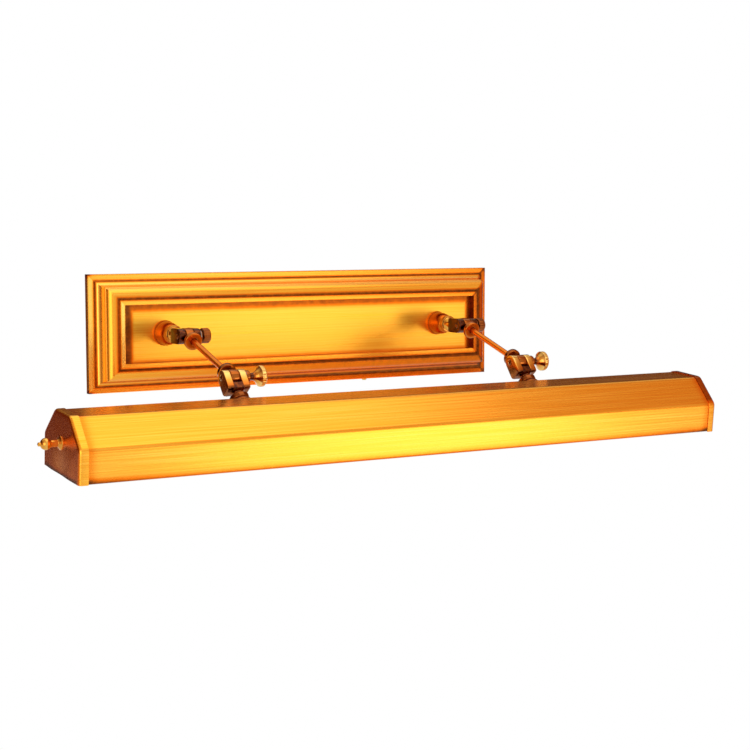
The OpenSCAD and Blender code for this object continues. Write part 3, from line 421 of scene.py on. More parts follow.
# wall plate border: one section carried round a rectangle; a point at inset u and height d, seen at the
# path's corner signs (sx, sz), is (sx (W - u), -d, sz (H - u))
moulding = {
    "halfWidth": 250, "halfHeight": 62.5, "arcSteps": 18, "edge": 0.5, "step": 0.6,
    "rim": (7.5, 7.5), "coveFoot": (7.5, 10), "coveTop": (13.5, 22.5), "roundFoot": (14.3, 22.5),
    "roundTop": (25.5, 29.5), "groove": 28.7, "lip": (26.5, 32, 31),
    "back": [(25.5, 23), (25.5, 26.5), (15.7, 21.4), (15.7, 7.5), (7.5, 5.3), (2.2, 5.3), (2.2, 0)],
    "nearCorner": (0, 0.001, 0.003, 0.008, 0.02), "between": (0.04, 0.96, 24), "lengthFrom": 0.99,
    # painted shade in the grooves, on the foot, the top, the right side and the corners; painted highlights
    # on the sides and top
    "shadeLines": ((7.1, 1.6, 1.0), (25.2, 2.2, 1.0), (32.4, 0.7, 0.8)), "offWall": 1, "lipFrom": 26.1,
    "sideSheen": ((29.4, 1.9, 0.95), (2.6, 2.8, 0.7), (11, 2.4, 0.45)), "topSheen": ((12, 4, 0.6),),
    "footShade": (0.08, 0.48, 0.66), "topRimShade": (0.0, 0.08, 0.3), "topLipShade": (0.0, 0.15, 0.3),
    "rightShade": 0.58, "cornerShade": 1.2, "cornerReach": 4.5,
}


def mouldingProfile(m):
    a = np.linspace(0, math.pi / 2, m["arcSteps"])
    (footU, footD), (topU, topD) = m["coveFoot"], m["coveTop"]
    cove = np.stack([footU + (topU - footU) * np.sin(a), topD - (topD - footD) * np.cos(a)], -1)
    (footU, footD), (topU, topD) = m["roundFoot"], m["roundTop"]
    bead = np.stack([topU - (topU - footU) * np.cos(a), footD + (topD - footD) * np.sin(a)], -1)
    lipOut, lipIn, lipTop = m["lip"]
    lip = [(topU, m["groove"]), (lipOut, m["groove"]), (lipOut, lipTop), (lipIn, lipTop),
           (lipIn, place["panel"])]
    line = np.concatenate([[(0, 0), (0, m["rim"][1]), m["rim"]], cove, bead, lip, m["back"]])
    return filled(softened(line, m["edge"]), m["step"])


section = mouldingProfile(moulding)
halfW, halfH = moulding["halfWidth"], moulding["halfHeight"]
corners = np.array([[1, 1], [-1, 1], [-1, -1], [1, -1]], float)
near = np.array(moulding["nearCorner"])
along = np.concatenate([near, np.linspace(*moulding["between"]), 1 - near[:0:-1]])[None, :, None]
path = ((1 - along) * corners[:, None] + along * np.roll(corners, -1, 0)[:, None]).reshape(-1, 2)
pathX, pathZ = path[:, :1], path[:, 1:]
u, d = section[None, :, 0], section[None, :, 1]
ring = np.stack([pathX * (halfW - u), -d + 0 * pathX, pathZ * (halfH - u)], -1)
onFoot, onTop = pathZ < -moulding["lengthFrom"], pathZ > moulding["lengthFrom"]
onRight = pathX > moulding["lengthFrom"]
level = onFoot | onTop  # where the grain runs along X
onLip, onRim = u > moulding["lipFrom"], u < moulding["rim"][0]
# painted shade: dark bands in the grooves, the foot, the top's rim and lip, the right side and the corners;
# painted highlights on sides and top
grooveShade = bands(moulding["shadeLines"], u) * (d > moulding["offWall"])
footShading, rimShading, lipShading = (np.interp(pathX, (-1, 0, 1), moulding[key])
                              for key in ("footShade", "topRimShade", "topLipShade"))
shadeAndSheenHere = onFoot * ~onLip * footShading + onTop * (onRim * rimShading + onLip * lipShading)
shadeAndSheenHere = np.clip(shadeAndSheenHere + onRight * moulding["rightShade"], 0, 1)
toCorner = np.abs(np.abs(ring[..., 0]) - halfW) + np.abs(np.abs(ring[..., 2]) - halfH)
atCorner = moulding["cornerShade"] * fallOff(toCorner, moulding["cornerReach"])
paintedSheen = ~level * bands(moulding["sideSheen"], u) + onTop * bands(moulding["topSheen"], u)
ringShadeAndSheen = np.clip(grooveShade + shadeAndSheenHere - paintedSheen * (1 - 2 * shadeAndSheenHere) + atCorner, -1, 1)
ringLay = np.stack(np.broadcast_arrays(np.where(level, ring[..., 0], ring[..., 2]), u, d), -1)
makePiece("plateMoulding", [skin(ring, closeRows=True, shadeAndSheen=ringShadeAndSheen, lay=ringLay)],
          "wall_plate", satinBrass, "plate_moulding", sharp=28)

# panel: a flat sheet behind the lip, with painted shadow in brown along the lip
panel = {"half": (224.4, 36.9), "sheet": 2, "fineNear": (30, 25), "coarse": (40, 8), "clear": (218, 30.5),
         "reach": {"left": 11, "right": 7, "top": 7.5, "foot": 3},
         "shadeAndSheen": {"left": 1.0, "right": 0.75, "top": 0.85, "foot": 0.4}, "power": (8, 4)}


# places along a side, close together near both ends
def closeAtEnds(half, near, coarse, fine=25, crowding=1.6):
    start = near * np.linspace(0, 1, fine) ** crowding - half
    return np.concatenate([start[:-1], np.linspace(near - half, half - near, coarse), -start[-2::-1]])


# painted shadow: brown along the lip at both ends of a direction, less towards the middle of the panel
def lipShadow(stations, low, high, clear, power):
    reach = np.where(stations < 0, panel["reach"][low], panel["reach"][high])
    most = np.where(stations < 0, panel["shadeAndSheen"][low], panel["shadeAndSheen"][high])
    return most * fallOff(np.maximum(clear - np.abs(stations), 0), reach, power)


stationX, stationZ = (closeAtEnds(*sizes) for sizes in zip(panel["half"], panel["fineNear"], panel["coarse"]))
front, back = (np.stack([np.full(len(stationZ), -y), stationZ], -1)
               for y in (place["panel"], place["panel"] - panel["sheet"]))
sideDark = lipShadow(stationX, "left", "right", panel["clear"][0], panel["power"][0])
levelDark = lipShadow(stationZ, "foot", "top", panel["clear"][1], panel["power"][1])
frontDark = np.maximum(sideDark[:, None], levelDark[None, :])
panelDark = np.concatenate([frontDark, np.zeros_like(frontDark)], 1)  # the back stays plain
makePiece("platePanel", [sheetAlongX(front, back, stationX, shadeAndSheen=panelDark)],
          "wall_plate", panelBrass, "plate_panel", sharp=30)
print("wall plate built")

# domed roses, a dome over a straight foot: r = land + (R - edge - land) cos a, h = foot + (H - foot) sin a
# painted shade darkens the roses, the shade's roses most
roses = {"edge": 0.8, "foot": 2.5, "land": 7.5, "bore": 5.1, "steps": 28, "soft": 0.5, "hollowShade": 0.2,
         "wall": {"radius": 13.5, "height": 22, "start": place["panel"], "shadeAndSheen": 0.7},
         "shade": {"radius": 12.5, "height": 8, "start": -place["stemReach"], "shadeAndSheen": 0.92}}


def roseParts(kind):
    rose = roses[kind]
    radius, start, land = rose["radius"], rose["start"], roses["land"]
    shoulder = start + roses["foot"]
    a = np.linspace(0, math.pi / 2, roses["steps"])
    dome = np.stack([land + (radius - roses["edge"] - land) * np.cos(a),
                     shoulder + (rose["height"] - roses["foot"]) * np.sin(a)], -1)
    foot = [(roses["bore"], start), (radius, start), (radius, shoulder)]
    line = softened(np.concatenate([foot, dome, [(roses["bore"], start + rose["height"])]]), roses["soft"])
    return [turned(line, closed=True, hollowShade=roses["hollowShade"], shadeAndSheen=rose["shadeAndSheen"])]


# forks and eyes: reach of the outline from the pivot at an angle; a circle with a straight-sided foot,
# (|cos / half|^p + |sin / end|^p)^(-1/p), below it or above it
# painted shade on the forks' roots, the eyes and their collars
knuckle = {"radius": 8, "hole": 3.08, "forkHalf": 12, "slotHalf": 4.8, "root": 17, "slotFloor": 9.5,
           "tongueHalf": 4.5, "neckHalf": 5, "neckEnd": 11.6, "power": 12, "inset": 0.3,
           "edge": 0.9, "edgeSteps": 6, "chamfer": 0.15,
           "collar": 9.5, "collarLength": 5, "collarBore": 3.3, "collarOverlap": 0.6, "collarSoft": 1.3,
           "softSteps": 6, "rootShade": 0.95, "eyeShade": (0.65, 0.65), "hollowShade": 0.1,
           "upperCollarShade": 0.62, "lowerCollarShade": 0.85}


def footReach(c, s, half, end):
    power = knuckle["power"]
    return ((np.abs(c) / half) ** power + (np.abs(s) / end) ** power) ** (-1 / power)


def forkReach(c, s):
    foot = footReach(c, s, knuckle["radius"], knuckle["root"])
    return np.where(s >= 0, knuckle["radius"], np.maximum(foot, knuckle["radius"]))


def eyeReach(c, s):
    neck = footReach(c, s, knuckle["neckHalf"], knuckle["neckEnd"])
    return np.where(s > 0, np.maximum(neck, knuckle["radius"]), knuckle["radius"])


# cheek of a knuckle: a rounded section carried round the pivot's hole, from the hole's circle to the
# outline at the same angle; painted shade goes from its first value at the pivot to its second at the fork's
# root
def cheek(outline, low, high, shadeAndSheen, around=96):
    k = knuckle
    a = onceRound(around)
    c, s = np.cos(a), np.sin(a)
    bend = np.linspace(0, math.pi / 2, k["edgeSteps"])
    fromRim, fromFace = k["edge"] * (1 - np.sin(bend)), k["edge"] * (1 - np.cos(bend))
    atHole = np.repeat([[k["hole"]], [k["hole"] + k["chamfer"]]], around, 1)
    outer = outline(c, s) - np.concatenate([fromRim, fromRim[::-1]])[:, None]
    r = np.concatenate([atHole, outer, atHole[::-1]])
    x = np.concatenate([[low + k["chamfer"], low], low + fromFace, high - fromFace[::-1],
                        [high, high - k["chamfer"]]])
    grid = np.stack([np.repeat(x[:, None], around, 1), r * c, r * s], -1)
    return skin(grid, closeRows=True, shadeAndSheen=np.interp(-r * s, (0, k["root"]), shadeAndSheen))


def forkParts(shadeAndSheen):
    k = knuckle
    cheeks = [cheek(forkReach, k["slotHalf"], k["forkHalf"], shadeAndSheen),
              cheek(forkReach, -k["forkHalf"], -k["slotHalf"], shadeAndSheen)]
    half = (k["root"] - k["slotFloor"]) / 2
    size = (k["forkHalf"] - k["inset"], k["radius"] - k["inset"], half)
    return cheeks + softBox(size, (0, 0, half - k["root"]), k["rootShade"])


def eyeParts(shadeAndSheen):
    k = knuckle
    bore, radius, start = k["collarBore"], k["collar"], k["neckEnd"] - k["collarOverlap"]
    end = start + k["collarLength"]
    collar = [(bore, start), (radius, start), (radius, end), (bore, end), (bore, k["neckEnd"])]
    line = softened(collar, k["collarSoft"], k["softSteps"])
    return [cheek(eyeReach, -k["tongueHalf"], k["tongueHalf"], k["eyeShade"]),
            turned(line, closed=True, hollowShade=k["hollowShade"], shadeAndSheen=shadeAndSheen)]


# stems: a tail through the sheet, a round collar and a waisted neck, r = R - waist sin(pi t), up to the fork
# painted shade on the shade's stems and the forks' roots, and a painted highlight at the shade forks' pivot
stems = {"bore": 3, "tail": 5, "waist": 2.5, "steps": 20, "intoFork": 0.5, "closeAt": 1, "soft": 1.2,
         "hollowShade": 0.22,
         "wall": {"tailEnd": 12.3, "seat": 45, "forkAt": 66, "forkShadeAndSheen": (0.97, 0.97), "shadeAndSheen": 0.0},
         "shade": {"tailEnd": -46.4, "seat": -27, "forkAt": -17, "forkShadeAndSheen": (-0.6, 0.85), "shadeAndSheen": 0.9}}


def stemParts(kind):
    k, stem = knuckle, stems[kind]
    bore, tail, collar = stems["bore"], stems["tail"], k["collar"]
    tailEnd, seat, forkAt = stem["tailEnd"], stem["seat"], stem["forkAt"]
    collarEnd = seat + k["collarLength"]
    t = np.linspace(0, 1, stems["steps"])
    neck = np.stack([k["radius"] - k["inset"] - stems["waist"] * np.sin(math.pi * t),
                     collarEnd + (forkAt - collarEnd) * t], -1)
    foot = [(bore, tailEnd), (tail, tailEnd), (tail, seat), (collar, seat), (collar, collarEnd)]
    inside = [(bore, forkAt + stems["intoFork"]), (bore, tailEnd + stems["closeAt"])]
    line = softened(np.concatenate([foot, neck, inside]), stems["soft"], k["softSteps"])
    body = turned(line, closed=True, hollowShade=stems["hollowShade"], shadeAndSheen=stem["shadeAndSheen"])
    return [body] + moved(forkParts(stem["forkShadeAndSheen"]), at=(0, 0, forkAt + k["root"]))


# clamp knobs: a screw from the fork's far side, then a turned head with a fluted grip; the shade's knobs
# flare, r = neck + widen t^2, h = start + length t
screw = [(0, -12.7), (1.8, -12.6), (3, -11.9), (3, 13)]
flare = {"neck": 3.6, "widen": 6.9, "start": 20.5, "length": 8, "steps": 16}
t = np.linspace(0, 1, flare["steps"])
flareLine = np.stack([flare["neck"] + flare["widen"] * t ** 2, flare["start"] + flare["length"] * t], -1)
knobs = {
    "wall": {"head": [(5.5, 13), (5.5, 14.5), (7, 14.5), (8, 15.5), (8, 22.1), (7, 23.3), (4, 24.1),
                      (0, 24.5)],
             "soft": 0.5, "around": 144, "grip": (22, 0.55, 15.6, 22.0), "at": upperPivot,
             "fade": (13, 24), "shadeAndSheen": (0.85, 0.8), "hollowShade": 0.12},
    "shade": {"head": [(6.5, 13), (6.5, 16.5), (3.6, 18.5), *flareLine,
                       (10.5, 32.3), (9.7, 33.2), (5.2, 33.7), (0, 34)],
              "soft": 0.5, "around": 144, "grip": (30, 0.6, 28.4, 32.2), "at": lowerPivot,
              "fade": (21, 28), "shadeAndSheen": (0.92, -0.5), "hollowShade": 0.3},
}

# arm tubes, and both knuckles of each arm
# painted shade darkens the arm tubes
rod = {"radius": 3.25, "bore": 2.1, "ends": (9, 101), "closeAt": 10, "around": 48, "shadeAndSheen": 0.4}
low, high = rod["ends"]
rodLine = [(rod["bore"], low), (rod["radius"], low), (rod["radius"], high), (rod["bore"], high),
           (rod["bore"], rod["closeAt"])]
for side, sign in sides:
    offset = np.array([sign * place["armX"], 0, 0])
    onUpper, onLower = upperPivot + offset, lowerPivot + offset
    makePiece(side + "WallRose", moved(roseParts("wall"), outOfWall, offset),
              "wall_plate", satinBrass, side + "_wall_rose")
    makePiece(side + "WallStem", moved(stemParts("wall"), outOfWall, offset),
              "wall_plate", polishedBrass, side + "_wall_stem")
    tube = turned(rodLine, rod["around"], closed=True, shadeAndSheen=rod["shadeAndSheen"], drawn=True)
    makePiece(side + "ArmRod", moved([tube], alongArm, onUpper),
              side + "_arm", satinBrass, side + "_arm_rod")
    makePiece(side + "UpperEye", moved(eyeParts(knuckle["upperCollarShade"]), alongArm, onUpper),
              side + "_arm", polishedBrass, side + "_arm_upper_eye")
    makePiece(side + "LowerEye", moved(eyeParts(knuckle["lowerCollarShade"]), alongArm @ turnX(180), onLower),
              side + "_arm", polishedBrass, side + "_arm_lower_eye")
    makePiece(side + "ShadeRose", moved(roseParts("shade"), alongStem, onLower),
              "shade", satinBrass, side + "_shade_rose")
    makePiece(side + "ShadeStem", moved(stemParts("shade"), alongStem, onLower),
              "shade", polishedBrass, side + "_shade_stem")
    for kind, knob in knobs.items():
        line = softened(np.array(screw + knob["head"]), knob["soft"])
        # painted shade from the neck to the face, and a painted highlight on the shade knobs' face
        shadeAndSheenHere = np.interp(line[:, 1], knob["fade"], knob["shadeAndSheen"])  # from the neck to the face
        turnedKnob = turned(line, knob["around"], False, knob["grip"], knob["hollowShade"], shadeAndSheenHere)
        node = f"{side}_{kind}_knob"
        makePiece(side + kind.capitalize() + "Knob", moved([turnedKnob], alongX, knob["at"] + offset),
                  node, polishedBrass, node)
print("arms and knuckles built")


# a line up the front of the shade, over the top and down the back, from the points of its back half
def roundShade(half):
    half = np.array(half, float)
    return np.concatenate([half * [-1, 1], half[::-1]]) + [midY, 0]


# shade: one folded sheet, hem to hem, drawn along X; the folds are short curves
# painted shade along the hem, more near the ends, under the knee fold and just inside the flanges
shade = {"hem": 6, "fold": 2.6, "hemBend": 2.4, "foldSteps": 8, "step": 3.0,
         "nearEnd": (0, 1, 2, 4, 7, 9, 10, 11, 13, 16, 20, 26, 34, 44), "middle": (-305, 305, 48),
         "hemShade": 0.5, "hemReach": 4.5, "tipShade": 0.45, "tipReach": 60, "flangeStepShade": 0.35, "endReach": 5,
         "foldShade": 0.08, "foldReach": 2.0, "underKnee": 1.5}
outline = roundShade([(halfDepth - shade["hem"], mouthZ), (halfDepth, mouthZ), (halfDepth, kneeZ),
                      (halfTop, topZ)])
cuts = [0, shade["hemBend"]] + [shade["fold"]] * 4 + [shade["hemBend"], 0]
outerLine = filled(softened(outline, cuts, shade["foldSteps"]), shade["step"])
innerLine = insetLine(outerLine, place["shadeSheet"])
bodyEnd = capFace - place["shadeSheet"]
nearEnd = np.array(shade["nearEnd"])
stations = np.concatenate([nearEnd - bodyEnd, np.linspace(*shade["middle"]), bodyEnd - nearEnd[::-1]])
nearHem = fallOff(outerLine[:, 1] - mouthZ, shade["hemReach"])
foldDark = shade["foldShade"] * fallOff(outerLine[:, 1] - kneeZ + shade["underKnee"], shade["foldReach"])
fromFlange = np.maximum(bodyEnd - place["flange"] - np.abs(stations), 0)
endDark = shade["flangeStepShade"] * fallOff(fromFlange, shade["endReach"])
hemAlong = shade["hemShade"] + shade["tipShade"] * fallOff(fromFlange, shade["tipReach"])
outerDark = hemAlong[:, None] * nearHem[None] + foldDark[None]
shadeDark = np.concatenate([outerDark, np.zeros_like(outerDark)], 1) + endDark[:, None]
folded = sheetAlongX(outerLine, innerLine, stations, shadeAndSheen=np.clip(shadeDark, 0, 1))
makePiece("shadeBody", moved([folded], inShade, lowerPivot),
          "shade", satinBrass, "shade_body", sharp=50)

# end caps: rows of the flange's edge, flange, bend and face follow the same line round the shade, and the
# face's rows close on the middle of the mouth, outside and inside
# painted shade on the face, at the mouth, along the flange's edge and over the right flange above the knee
cap = {"grow": 1.0, "kneeLift": 0.4, "fold": 3.4, "foldSteps": 8, "step": 3.0, "flangeSheet": 0.9,
       "edgeRound": (0.2, 0.25), "bend": 3.4, "bendSteps": 9, "dome": 0.5, "faceSteps": 13,
       "edgeShade": 0.5, "edgeFrom": 7, "faceShade": (0.55, 0.3), "mouthShade": 0.8, "mouthReach": 2.6,
       "flangeShade": {"left": (0.0, 0.0), "right": (0.15, 0.8)}, "kneeReach": 4}
rimY = halfDepth + cap["grow"]
rimOutline = roundShade([(rimY, mouthZ), (rimY, kneeZ + cap["kneeLift"]),
                         (halfTop + cap["kneeLift"], topZ + cap["grow"])])
rimLine = filled(softened(rimOutline, cap["fold"], cap["foldSteps"]), cap["step"])
mouthMid = np.array([midY, mouthZ])


# lines of (y, z) points set at places along X
def rowsAt(x, lines):
    across = np.broadcast_to(x[:, None, None], lines.shape[:2] + (1,))
    return np.concatenate([across, lines], 2)


# rows of points at given places along X, each the rim's line moved inwards by its inset
def rimRows(x, inset):
    return rowsAt(x, insetLine(rimLine, inset[:, None, None]))


# rows of points from the bend's line to the middle of the mouth, by shares of the way
def faceRows(x, share):
    share = share[:, None, None]
    return rowsAt(x, (1 - share) * insetLine(rimLine, cap["bend"]) + share * mouthMid)


def capParts(side, sign):
    c, sheet = cap, place["shadeSheet"]
    turn = np.linspace(0, math.pi / 2, c["bendSteps"])
    back = turn[::-1]
    start, middle = capFace - place["flange"], capFace - c["bend"]
    edgeX, edgeIn = [start, start + c["edgeRound"][0]], [c["edgeRound"][1], 0.0]
    outX = np.concatenate([edgeX, middle + c["bend"] * np.sin(turn)])
    outIn = np.concatenate([edgeIn, c["bend"] * (1 - np.cos(turn))])
    inX = np.concatenate([middle + (c["bend"] - sheet) * np.sin(back), edgeX[::-1]])
    inIn = np.concatenate([c["bend"] - (c["bend"] - c["flangeSheet"]) * np.cos(back), [c["flangeSheet"]] * 2])
    inward = np.linspace(0, 1, c["faceSteps"])[1:]
    lift = c["dome"] * np.sin(math.pi * inward) ** 2
    grid = np.concatenate([
        rimRows(outX, outIn), faceRows(capFace + lift, inward),
        faceRows(capFace - sheet + lift[::-1], inward[::-1]), rimRows(inX, inIn)])
    n, k = grid.shape[:2]
    overKnee = np.interp(rimLine[:, 1], (kneeZ, kneeZ + c["kneeReach"]), c["flangeShade"][side])
    dark = np.repeat(overKnee[None], n, 0)
    onEdge = slice(c["edgeFrom"], len(outX))
    dark[onEdge] = np.maximum(dark[onEdge], c["edgeShade"])
    onFace = slice(len(outX), len(outX) + len(inward))
    atMouth = c["mouthShade"] * fallOff(grid[onFace, :, 2] - mouthZ, c["mouthReach"])
    dark[onFace] = np.clip(np.linspace(*c["faceShade"], len(inward))[:, None] + atMouth, 0, 1)
    grid[..., 0] *= sign
    ends = ladder(n) * k
    caps = np.concatenate([ends, ends + k - 1])
    return [skin(grid, closeRows=True, closeCols=False, shadeAndSheen=dark, caps=caps)]


# end knobs: a foot, a neck and a ball, r = R sin a, with a small tip
endKnob = {"radius": 5.5, "ballFrom": 9.24, "ballLength": 10.12, "ballTurn": (0.65, 2.8, 18), "tip": 1.8,
           # painted shade in the end knob's waist
           "rise": 0.52, "soft": 0.35, "hollowShade": 0.25,
           "foot": [(2.08, 0), (6.5, 0), (6.5, 1.2), (4.7, 2.4), (3.3, 3.6), (3.3, 9.2)],
           "end": [(1.8, 21.2), (0, 22), (0, 9.9), (2.08, 9.9), (2.08, 0.5)]}
a = np.linspace(*endKnob["ballTurn"])
ball = np.stack([np.maximum(endKnob["radius"] * np.sin(a), endKnob["tip"]),
                 endKnob["ballFrom"] + endKnob["ballLength"] * (1 - np.cos(a)) / 2], -1)
endKnobLine = softened(np.concatenate([endKnob["foot"], ball, endKnob["end"]]), endKnob["soft"])
endKnobZ = mouthZ + endKnob["rise"] * place["shadeHeight"]
for side, sign in sides:
    makePiece(side + "EndCap", moved(capParts(side, sign), inShade, lowerPivot),
              "shade", satinBrass, side + "_end_cap", sharp=40)
    head = turned(endKnobLine, closed=True, hollowShade=endKnob["hollowShade"])
    atCap = lowerPivot + inShade @ np.array([sign * capFace, midY, endKnobZ])
    makePiece(side + "EndKnob", moved([head], alongX if sign > 0 else againstX, atCap),
              side + "_end_knob", polishedBrass, side + "_end_knob")
print("shade built")

# lamps in a row: black holder, threaded cap and a frosted tube with a domed end, each turned about X
lamps = {"around": 72, "soft": 0.5,
         "holder": [(5.1, 0), (12, 0), (13, 1), (13, 6), (12, 7), (12, 24), (13.5, 25), (13.5, 30), (7.4, 30),
                    (7.4, 8), (3, 8), (3, 6), (5.1, 6), (5.1, 0.5)],
         "glass": 11, "wall": 0.8, "neck": 8.6, "foot": 33, "barrel": 40, "tip": 113, "domeSteps": 16,
         "closeAt": 33.5, "plateX": 160, "sheet": 1.5, "thread": (11, 30.5, 79), "threadPitch": 3.2,
         "threadRadius": 6.65, "threadDepth": 0.25, "capFoot": [(0, 8), (4.9, 8)],
         "capTop": [(6.9, 31), (8.6, 31), (8.6, 33), (0, 33)]}
lampAt = np.array([0, midY, topZ - place["lampDrop"]])


# half of a lamp's section: neck, barrel, a quarter circle over the tip, and the same again inside
def glassLine(m):
    a = np.linspace(0, math.pi / 2, m["domeSteps"])
    quarter = np.stack([np.cos(a), np.sin(a)], -1)
    ballAt = [0, m["tip"] - m["glass"]]
    inside, neckInside = m["glass"] - m["wall"], m["neck"] - m["wall"]
    feet = [(neckInside, m["foot"]), (m["neck"], m["foot"]), (m["glass"], m["barrel"])]
    ends = [(inside, m["barrel"]), (neckInside, m["closeAt"])]
    return np.concatenate([feet, m["glass"] * quarter + ballAt, inside * quarter[::-1] + ballAt, ends])


threadZ = np.linspace(*lamps["thread"])
threadTurn = 2 * math.pi * (threadZ - threadZ[0]) / lamps["threadPitch"]
thread = np.stack([lamps["threadRadius"] + lamps["threadDepth"] * np.cos(threadTurn), threadZ], -1)
capLine = np.concatenate([lamps["capFoot"], thread, lamps["capTop"]])
holderLine = softened(lamps["holder"], lamps["soft"])
capSkins = []
for number, (sign, out) in enumerate(((-1, True), (-1, False), (1, False), (1, True)), 1):
    x = sign * (lamps["plateX"] + (lamps["sheet"] if out else 0))
    facing = alongX if (sign > 0) == out else againstX
    at = lowerPivot + inShade @ (lampAt + [x, 0, 0])
    makePiece(f"lampholder{number}", moved([turned(holderLine, lamps["around"], closed=True)], facing, at),
              "shade", plain["blackBakelite"], f"lampholder_{number}")
    makePiece(f"lamp{number}", moved([turned(glassLine(lamps), lamps["around"], closed=True)], facing, at),
              "shade", plain["frostedGlass"], f"lamp_{number}")
    capSkins += moved([turned(capLine, lamps["around"])], facing, at)
makePiece("lampCaps", capSkins, "shade", turnedBrass, "lamp_caps")
print("lamps built")

# leads: round wires through the same points as their solids; a shade lead goes in along the stem, then
# towards the lamps' axis into a holder
leads = {
    "radius": 2, "steps": 10, "wallGuide": (0, 0, 1), "shadeGuide": (1, 0.2, 0),
    "left": [(23, -8, 5), (18, -8, 5), (12, -8, 5.6), (-6, -8, 10), (-60, -7.5, 9), (-131, -6, 2),
             (-151, -3.6, 0), (-163, -3, 0), (-169.8, -6.6, 0), (-171, -12, 0), (-171, -21, 0)],
    "right": [(57, -8, 0), (85, -7, 0), (131, -6, 0), (151, -3.6, 0), (163, -3, 0), (169.8, -6.6, 0),
              (171, -12, 0), (171, -21, 0)],
    "fromPivot": (40.4, 47.9), "holderX": 165.5, "fromAxis": (16, 9),
}
for side in ("left", "right"):
    line = throughPoints(leads[side], leads["steps"])
    makePiece(side + "WallLead", [wire(line, leads["radius"], leads["wallGuide"])],
              "wall_plate", plain["brownSheath"], side + "_wall_lead", sharp=60)

inward = -np.array([slopeSin, slopeCos])  # along the stem
leadAngle = math.atan2(place["lampDrop"] - slopeZ / 2, slopeY / 2 + halfTop)
outward = np.array([math.cos(leadAngle), math.sin(leadAngle)])  # from the lamps' axis to the slope's middle
shadeRoute = np.array([(place["armX"], *(inward * far)) for far in leads["fromPivot"]]
                      + [(leads["holderX"], *(lampAt[1:] + outward * far)) for far in leads["fromAxis"]])
for side, sign in sides:
    line = throughPoints(shadeRoute * [sign, 1, 1], leads["steps"])
    lead = wire(line, leads["radius"], leads["shadeGuide"])
    makePiece(side + "ShadeLead", moved([lead], inShade, lowerPivot),
              "shade", plain["paleSheath"], side + "_shade_lead", sharp=60)

# CAD nodes that stay: sheet metal and small hardware get a finish and a small bevel on their edges, in mm;
# flat faces of hard stuff are merged first, so that no sliver stops the bevel
kept = {
    "zinc_steel": (plain["zincSteel"], 0.25, True), "turned_brass": (turnedBrass, 0.15, True),
    "black_rubber": (plain["blackRubber"], 0.2, False), "cream_plastic": (plain["creamPlastic"], 0.35, True),
    "white_aluminium": (plain["whiteEnamel"], 0.0, False),
}
angles = {"flat": math.radians(0.5), "edge": math.radians(45)}
slotOf = {entry["node"]: entry["material_slot"] for entry in frame["record"]["subparts"]}
for name, node in nodes.items():
    if slotOf[name] not in kept:
        continue
    finish, edge, mergeFlats = kept[slotOf[name]]
    node.data.materials.clear()
    node.data.materials.append(finish)
    if edge and not node.hide_render:
        weld = node.modifiers.new("weld", "WELD")
        weld.merge_threshold = mergeWithin["weld"]
        if mergeFlats:
            flats = node.modifiers.new("flats", "DECIMATE")
            flats.decimate_type = "DISSOLVE"
            flats.angle_limit = angles["flat"]
        bevel = node.modifiers.new("edge", "BEVEL")
        bevel.width = edge * mm
        bevel.segments = 2
        bevel.limit_method = "ANGLE"
        bevel.angle_limit = angles["edge"]
print("hardware finished")

# camera where the photograph was taken from, looking a little down and to the right
view = {"at": (-0.8496, -1.6038, 0.1157), "turn": 0.5353, "dip": 0.0938, "clip": (0.05, 60),
        "sensor": 36, "focalPixels": 1615.3, "photoPixels": 750}
camera = bpy.data.objects.new("camera", bpy.data.cameras.new("camera"))
camera.data.sensor_fit = "HORIZONTAL"
camera.data.sensor_width = view["sensor"]
camera.data.lens = view["sensor"] * view["focalPixels"] / view["photoPixels"]
camera.data.clip_start, camera.data.clip_end = view["clip"]
camera.location = view["at"]
camera.rotation_euler = (math.pi / 2 - view["dip"], 0, -view["turn"])
scene.collection.objects.link(camera)
scene.camera = camera


# the camera's own rays, and those that come off metal or through glass
def rayKinds(tree):
    rays = tree.nodes.new("ShaderNodeLightPath").outputs
    mirrored = mathNode(tree, "MAXIMUM", rays["Is Glossy Ray"], rays["Is Transmission Ray"])
    return rays["Is Camera Ray"], mirrored


# floor far below the light, pale; white to the camera, metal and glass, and least so under the light,
# where the light's soft shadow stays
floor = {"height": -1.9, "half": 9, "tones": ((0.3, (0.92, 0.80, 0.64)), (0.7, (0.94, 0.83, 0.68))),
         "cloud": 3, "rough": 0.9, "whiteNear": 0.85, "reach": (0.6, 2.6)}
floorMesh = bpy.data.meshes.new("floor")
floorCorners = corners[::-1] * floor["half"]
floorMesh.from_pydata([(x, y, floor["height"]) for x, y in floorCorners.tolist()], [], [(3, 2, 1, 0)])
floorPiece = bpy.data.objects.new("floor", floorMesh)
scene.collection.objects.link(floorPiece)
paper, tree, shader, coords = newMaterial("paleFloor")
tone = ramp(tree, noiseOn(tree, coords, floor["cloud"], detail=2.0), floor["tones"])
tree.links.new(tone, shader.inputs["Base Color"])
shader.inputs["Roughness"].default_value = floor["rough"]
fromMiddle = addNode(tree, "ShaderNodeVectorMath", operation="DISTANCE")
tree.links.new(coords, fromMiddle.inputs[0])
fromMiddle.inputs[1].default_value = (0, 0, floor["height"])
share = spread(tree, fromMiddle.outputs["Value"], floor["whiteNear"], 1.0, *floor["reach"])
seen = mathNode(tree, "MAXIMUM", *rayKinds(tree))
glow = tree.nodes.new("ShaderNodeEmission")
either = tree.nodes.new("ShaderNodeMixShader")
tree.links.new(mathNode(tree, "MULTIPLY", seen, share), either.inputs[0])
tree.links.new(shader.outputs[0], either.inputs[1])
tree.links.new(glow.outputs[0], either.inputs[2])
tree.links.new(either.outputs[0], findNode(tree, "OUTPUT_MATERIAL").inputs["Surface"])
floorMesh.materials.append(paper)

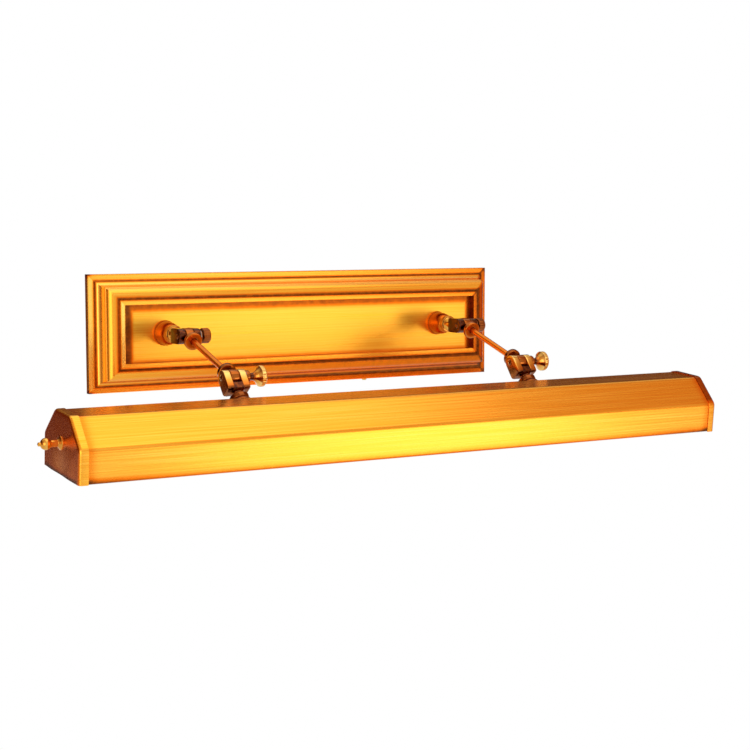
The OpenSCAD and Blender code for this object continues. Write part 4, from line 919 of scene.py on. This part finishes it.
# studio: soft boxes in front, above and on the left, all turned to one point of the light
boxes = {
    "frontBox": {"at": (1.15, -2.15, -0.5), "size": (0.9, 0.95), "power": 5.4, "colour": (1.0, 0.98, 0.94)},
    "topBox": {"at": (0.14, -0.4, 1.55), "size": (1.5, 1.7), "power": 8.3, "colour": (1.0, 0.97, 0.92)},
    "leftBox": {"at": (-1.9, -1.5, 0.1), "size": (1.4, 1.4), "power": 9.2, "colour": (1.0, 0.94, 0.87)},
}
aim = np.array([0.05, -0.15, -0.04])
for name, box in boxes.items():
    lamp = bpy.data.lights.new(name, "AREA")
    lamp.shape = "RECTANGLE"
    lamp.size, lamp.size_y = box["size"]
    lamp.energy = box["power"]
    lamp.color = box["colour"]
    holder = bpy.data.objects.new(name, lamp)
    holder.location = box["at"]
    away = np.array(box["at"]) - aim
    tip = math.acos(away[2] / np.linalg.norm(away))
    holder.rotation_euler = (tip, 0, math.atan2(away[1], away[0]) + math.pi / 2)
    scene.collection.objects.link(holder)

# room: plain stuff gets an even fill; what metal and glass see is pale in front, warm and dim at the sides
# and behind, with a white backdrop behind the light's right part, up to a little over its height, and a pale
# ceiling over the wall; the camera sees white all round
room = {"fill": (0.75, 0.74, 0.73), "white": (1.0, 1.0, 1.0), "ceiling": (1.0, 0.92, 0.78),
        "depthTones": ((0.1, (1.0, 0.94, 0.84)), (0.42, (0.88, 0.62, 0.40)), (0.6, (0.30, 0.12, 0.05)),
                       (0.8, (0.13, 0.04, 0.018))),
        "rightTones": ((0.74, (1.0, 1.0, 1.0)), (0.86, (0.75, 0.45, 0.25))),
        "backdropDepth": (0.35, 0.6), "backdropTop": (0.14, 0.04), "backdropLeft": (-0.15, 0.1),
        "ceilingFrom": (0.5, 0.72), "ceilingDepth": (0.0, 0.25)}
world = bpy.data.worlds.new("room")
scene.world = world
world.use_nodes = True
tree = world.node_tree
background = findNode(tree, "BACKGROUND")
axes = tree.nodes.new("ShaderNodeSeparateXYZ")
tree.links.new(tree.nodes.new("ShaderNodeTexCoord").outputs["Generated"], axes.inputs[0])


# 0 to 1 as a direction's part along an axis goes from one limit to the other
def between(axis, limits):
    return spread(tree, axes.outputs[axis], 0.0, 1.0, *limits)


depth, sideways = between("Y", (-1.0, 1.0)), between("X", (-1.0, 1.0))
around, dimmer = ramp(tree, depth, room["depthTones"]), ramp(tree, sideways, room["rightTones"])
around = mixColour(tree, 1.0, around, dimmer, "MULTIPLY")
behind = mathNode(tree, "MULTIPLY", between("Y", room["backdropDepth"]), between("Z", room["backdropTop"]))
behind = mathNode(tree, "MULTIPLY", behind, between("X", room["backdropLeft"]))
around = mixColour(tree, behind, around, room["white"])
above = mathNode(tree, "MULTIPLY", between("Z", room["ceilingFrom"]), between("Y", room["ceilingDepth"]))
around = mixColour(tree, above, around, room["ceiling"])
cameraRay, mirrored = rayKinds(tree)
lit = mixColour(tree, mirrored, room["fill"], around)
tree.links.new(mixColour(tree, cameraRay, lit, room["white"]), background.inputs["Color"])
print("camera and studio set")
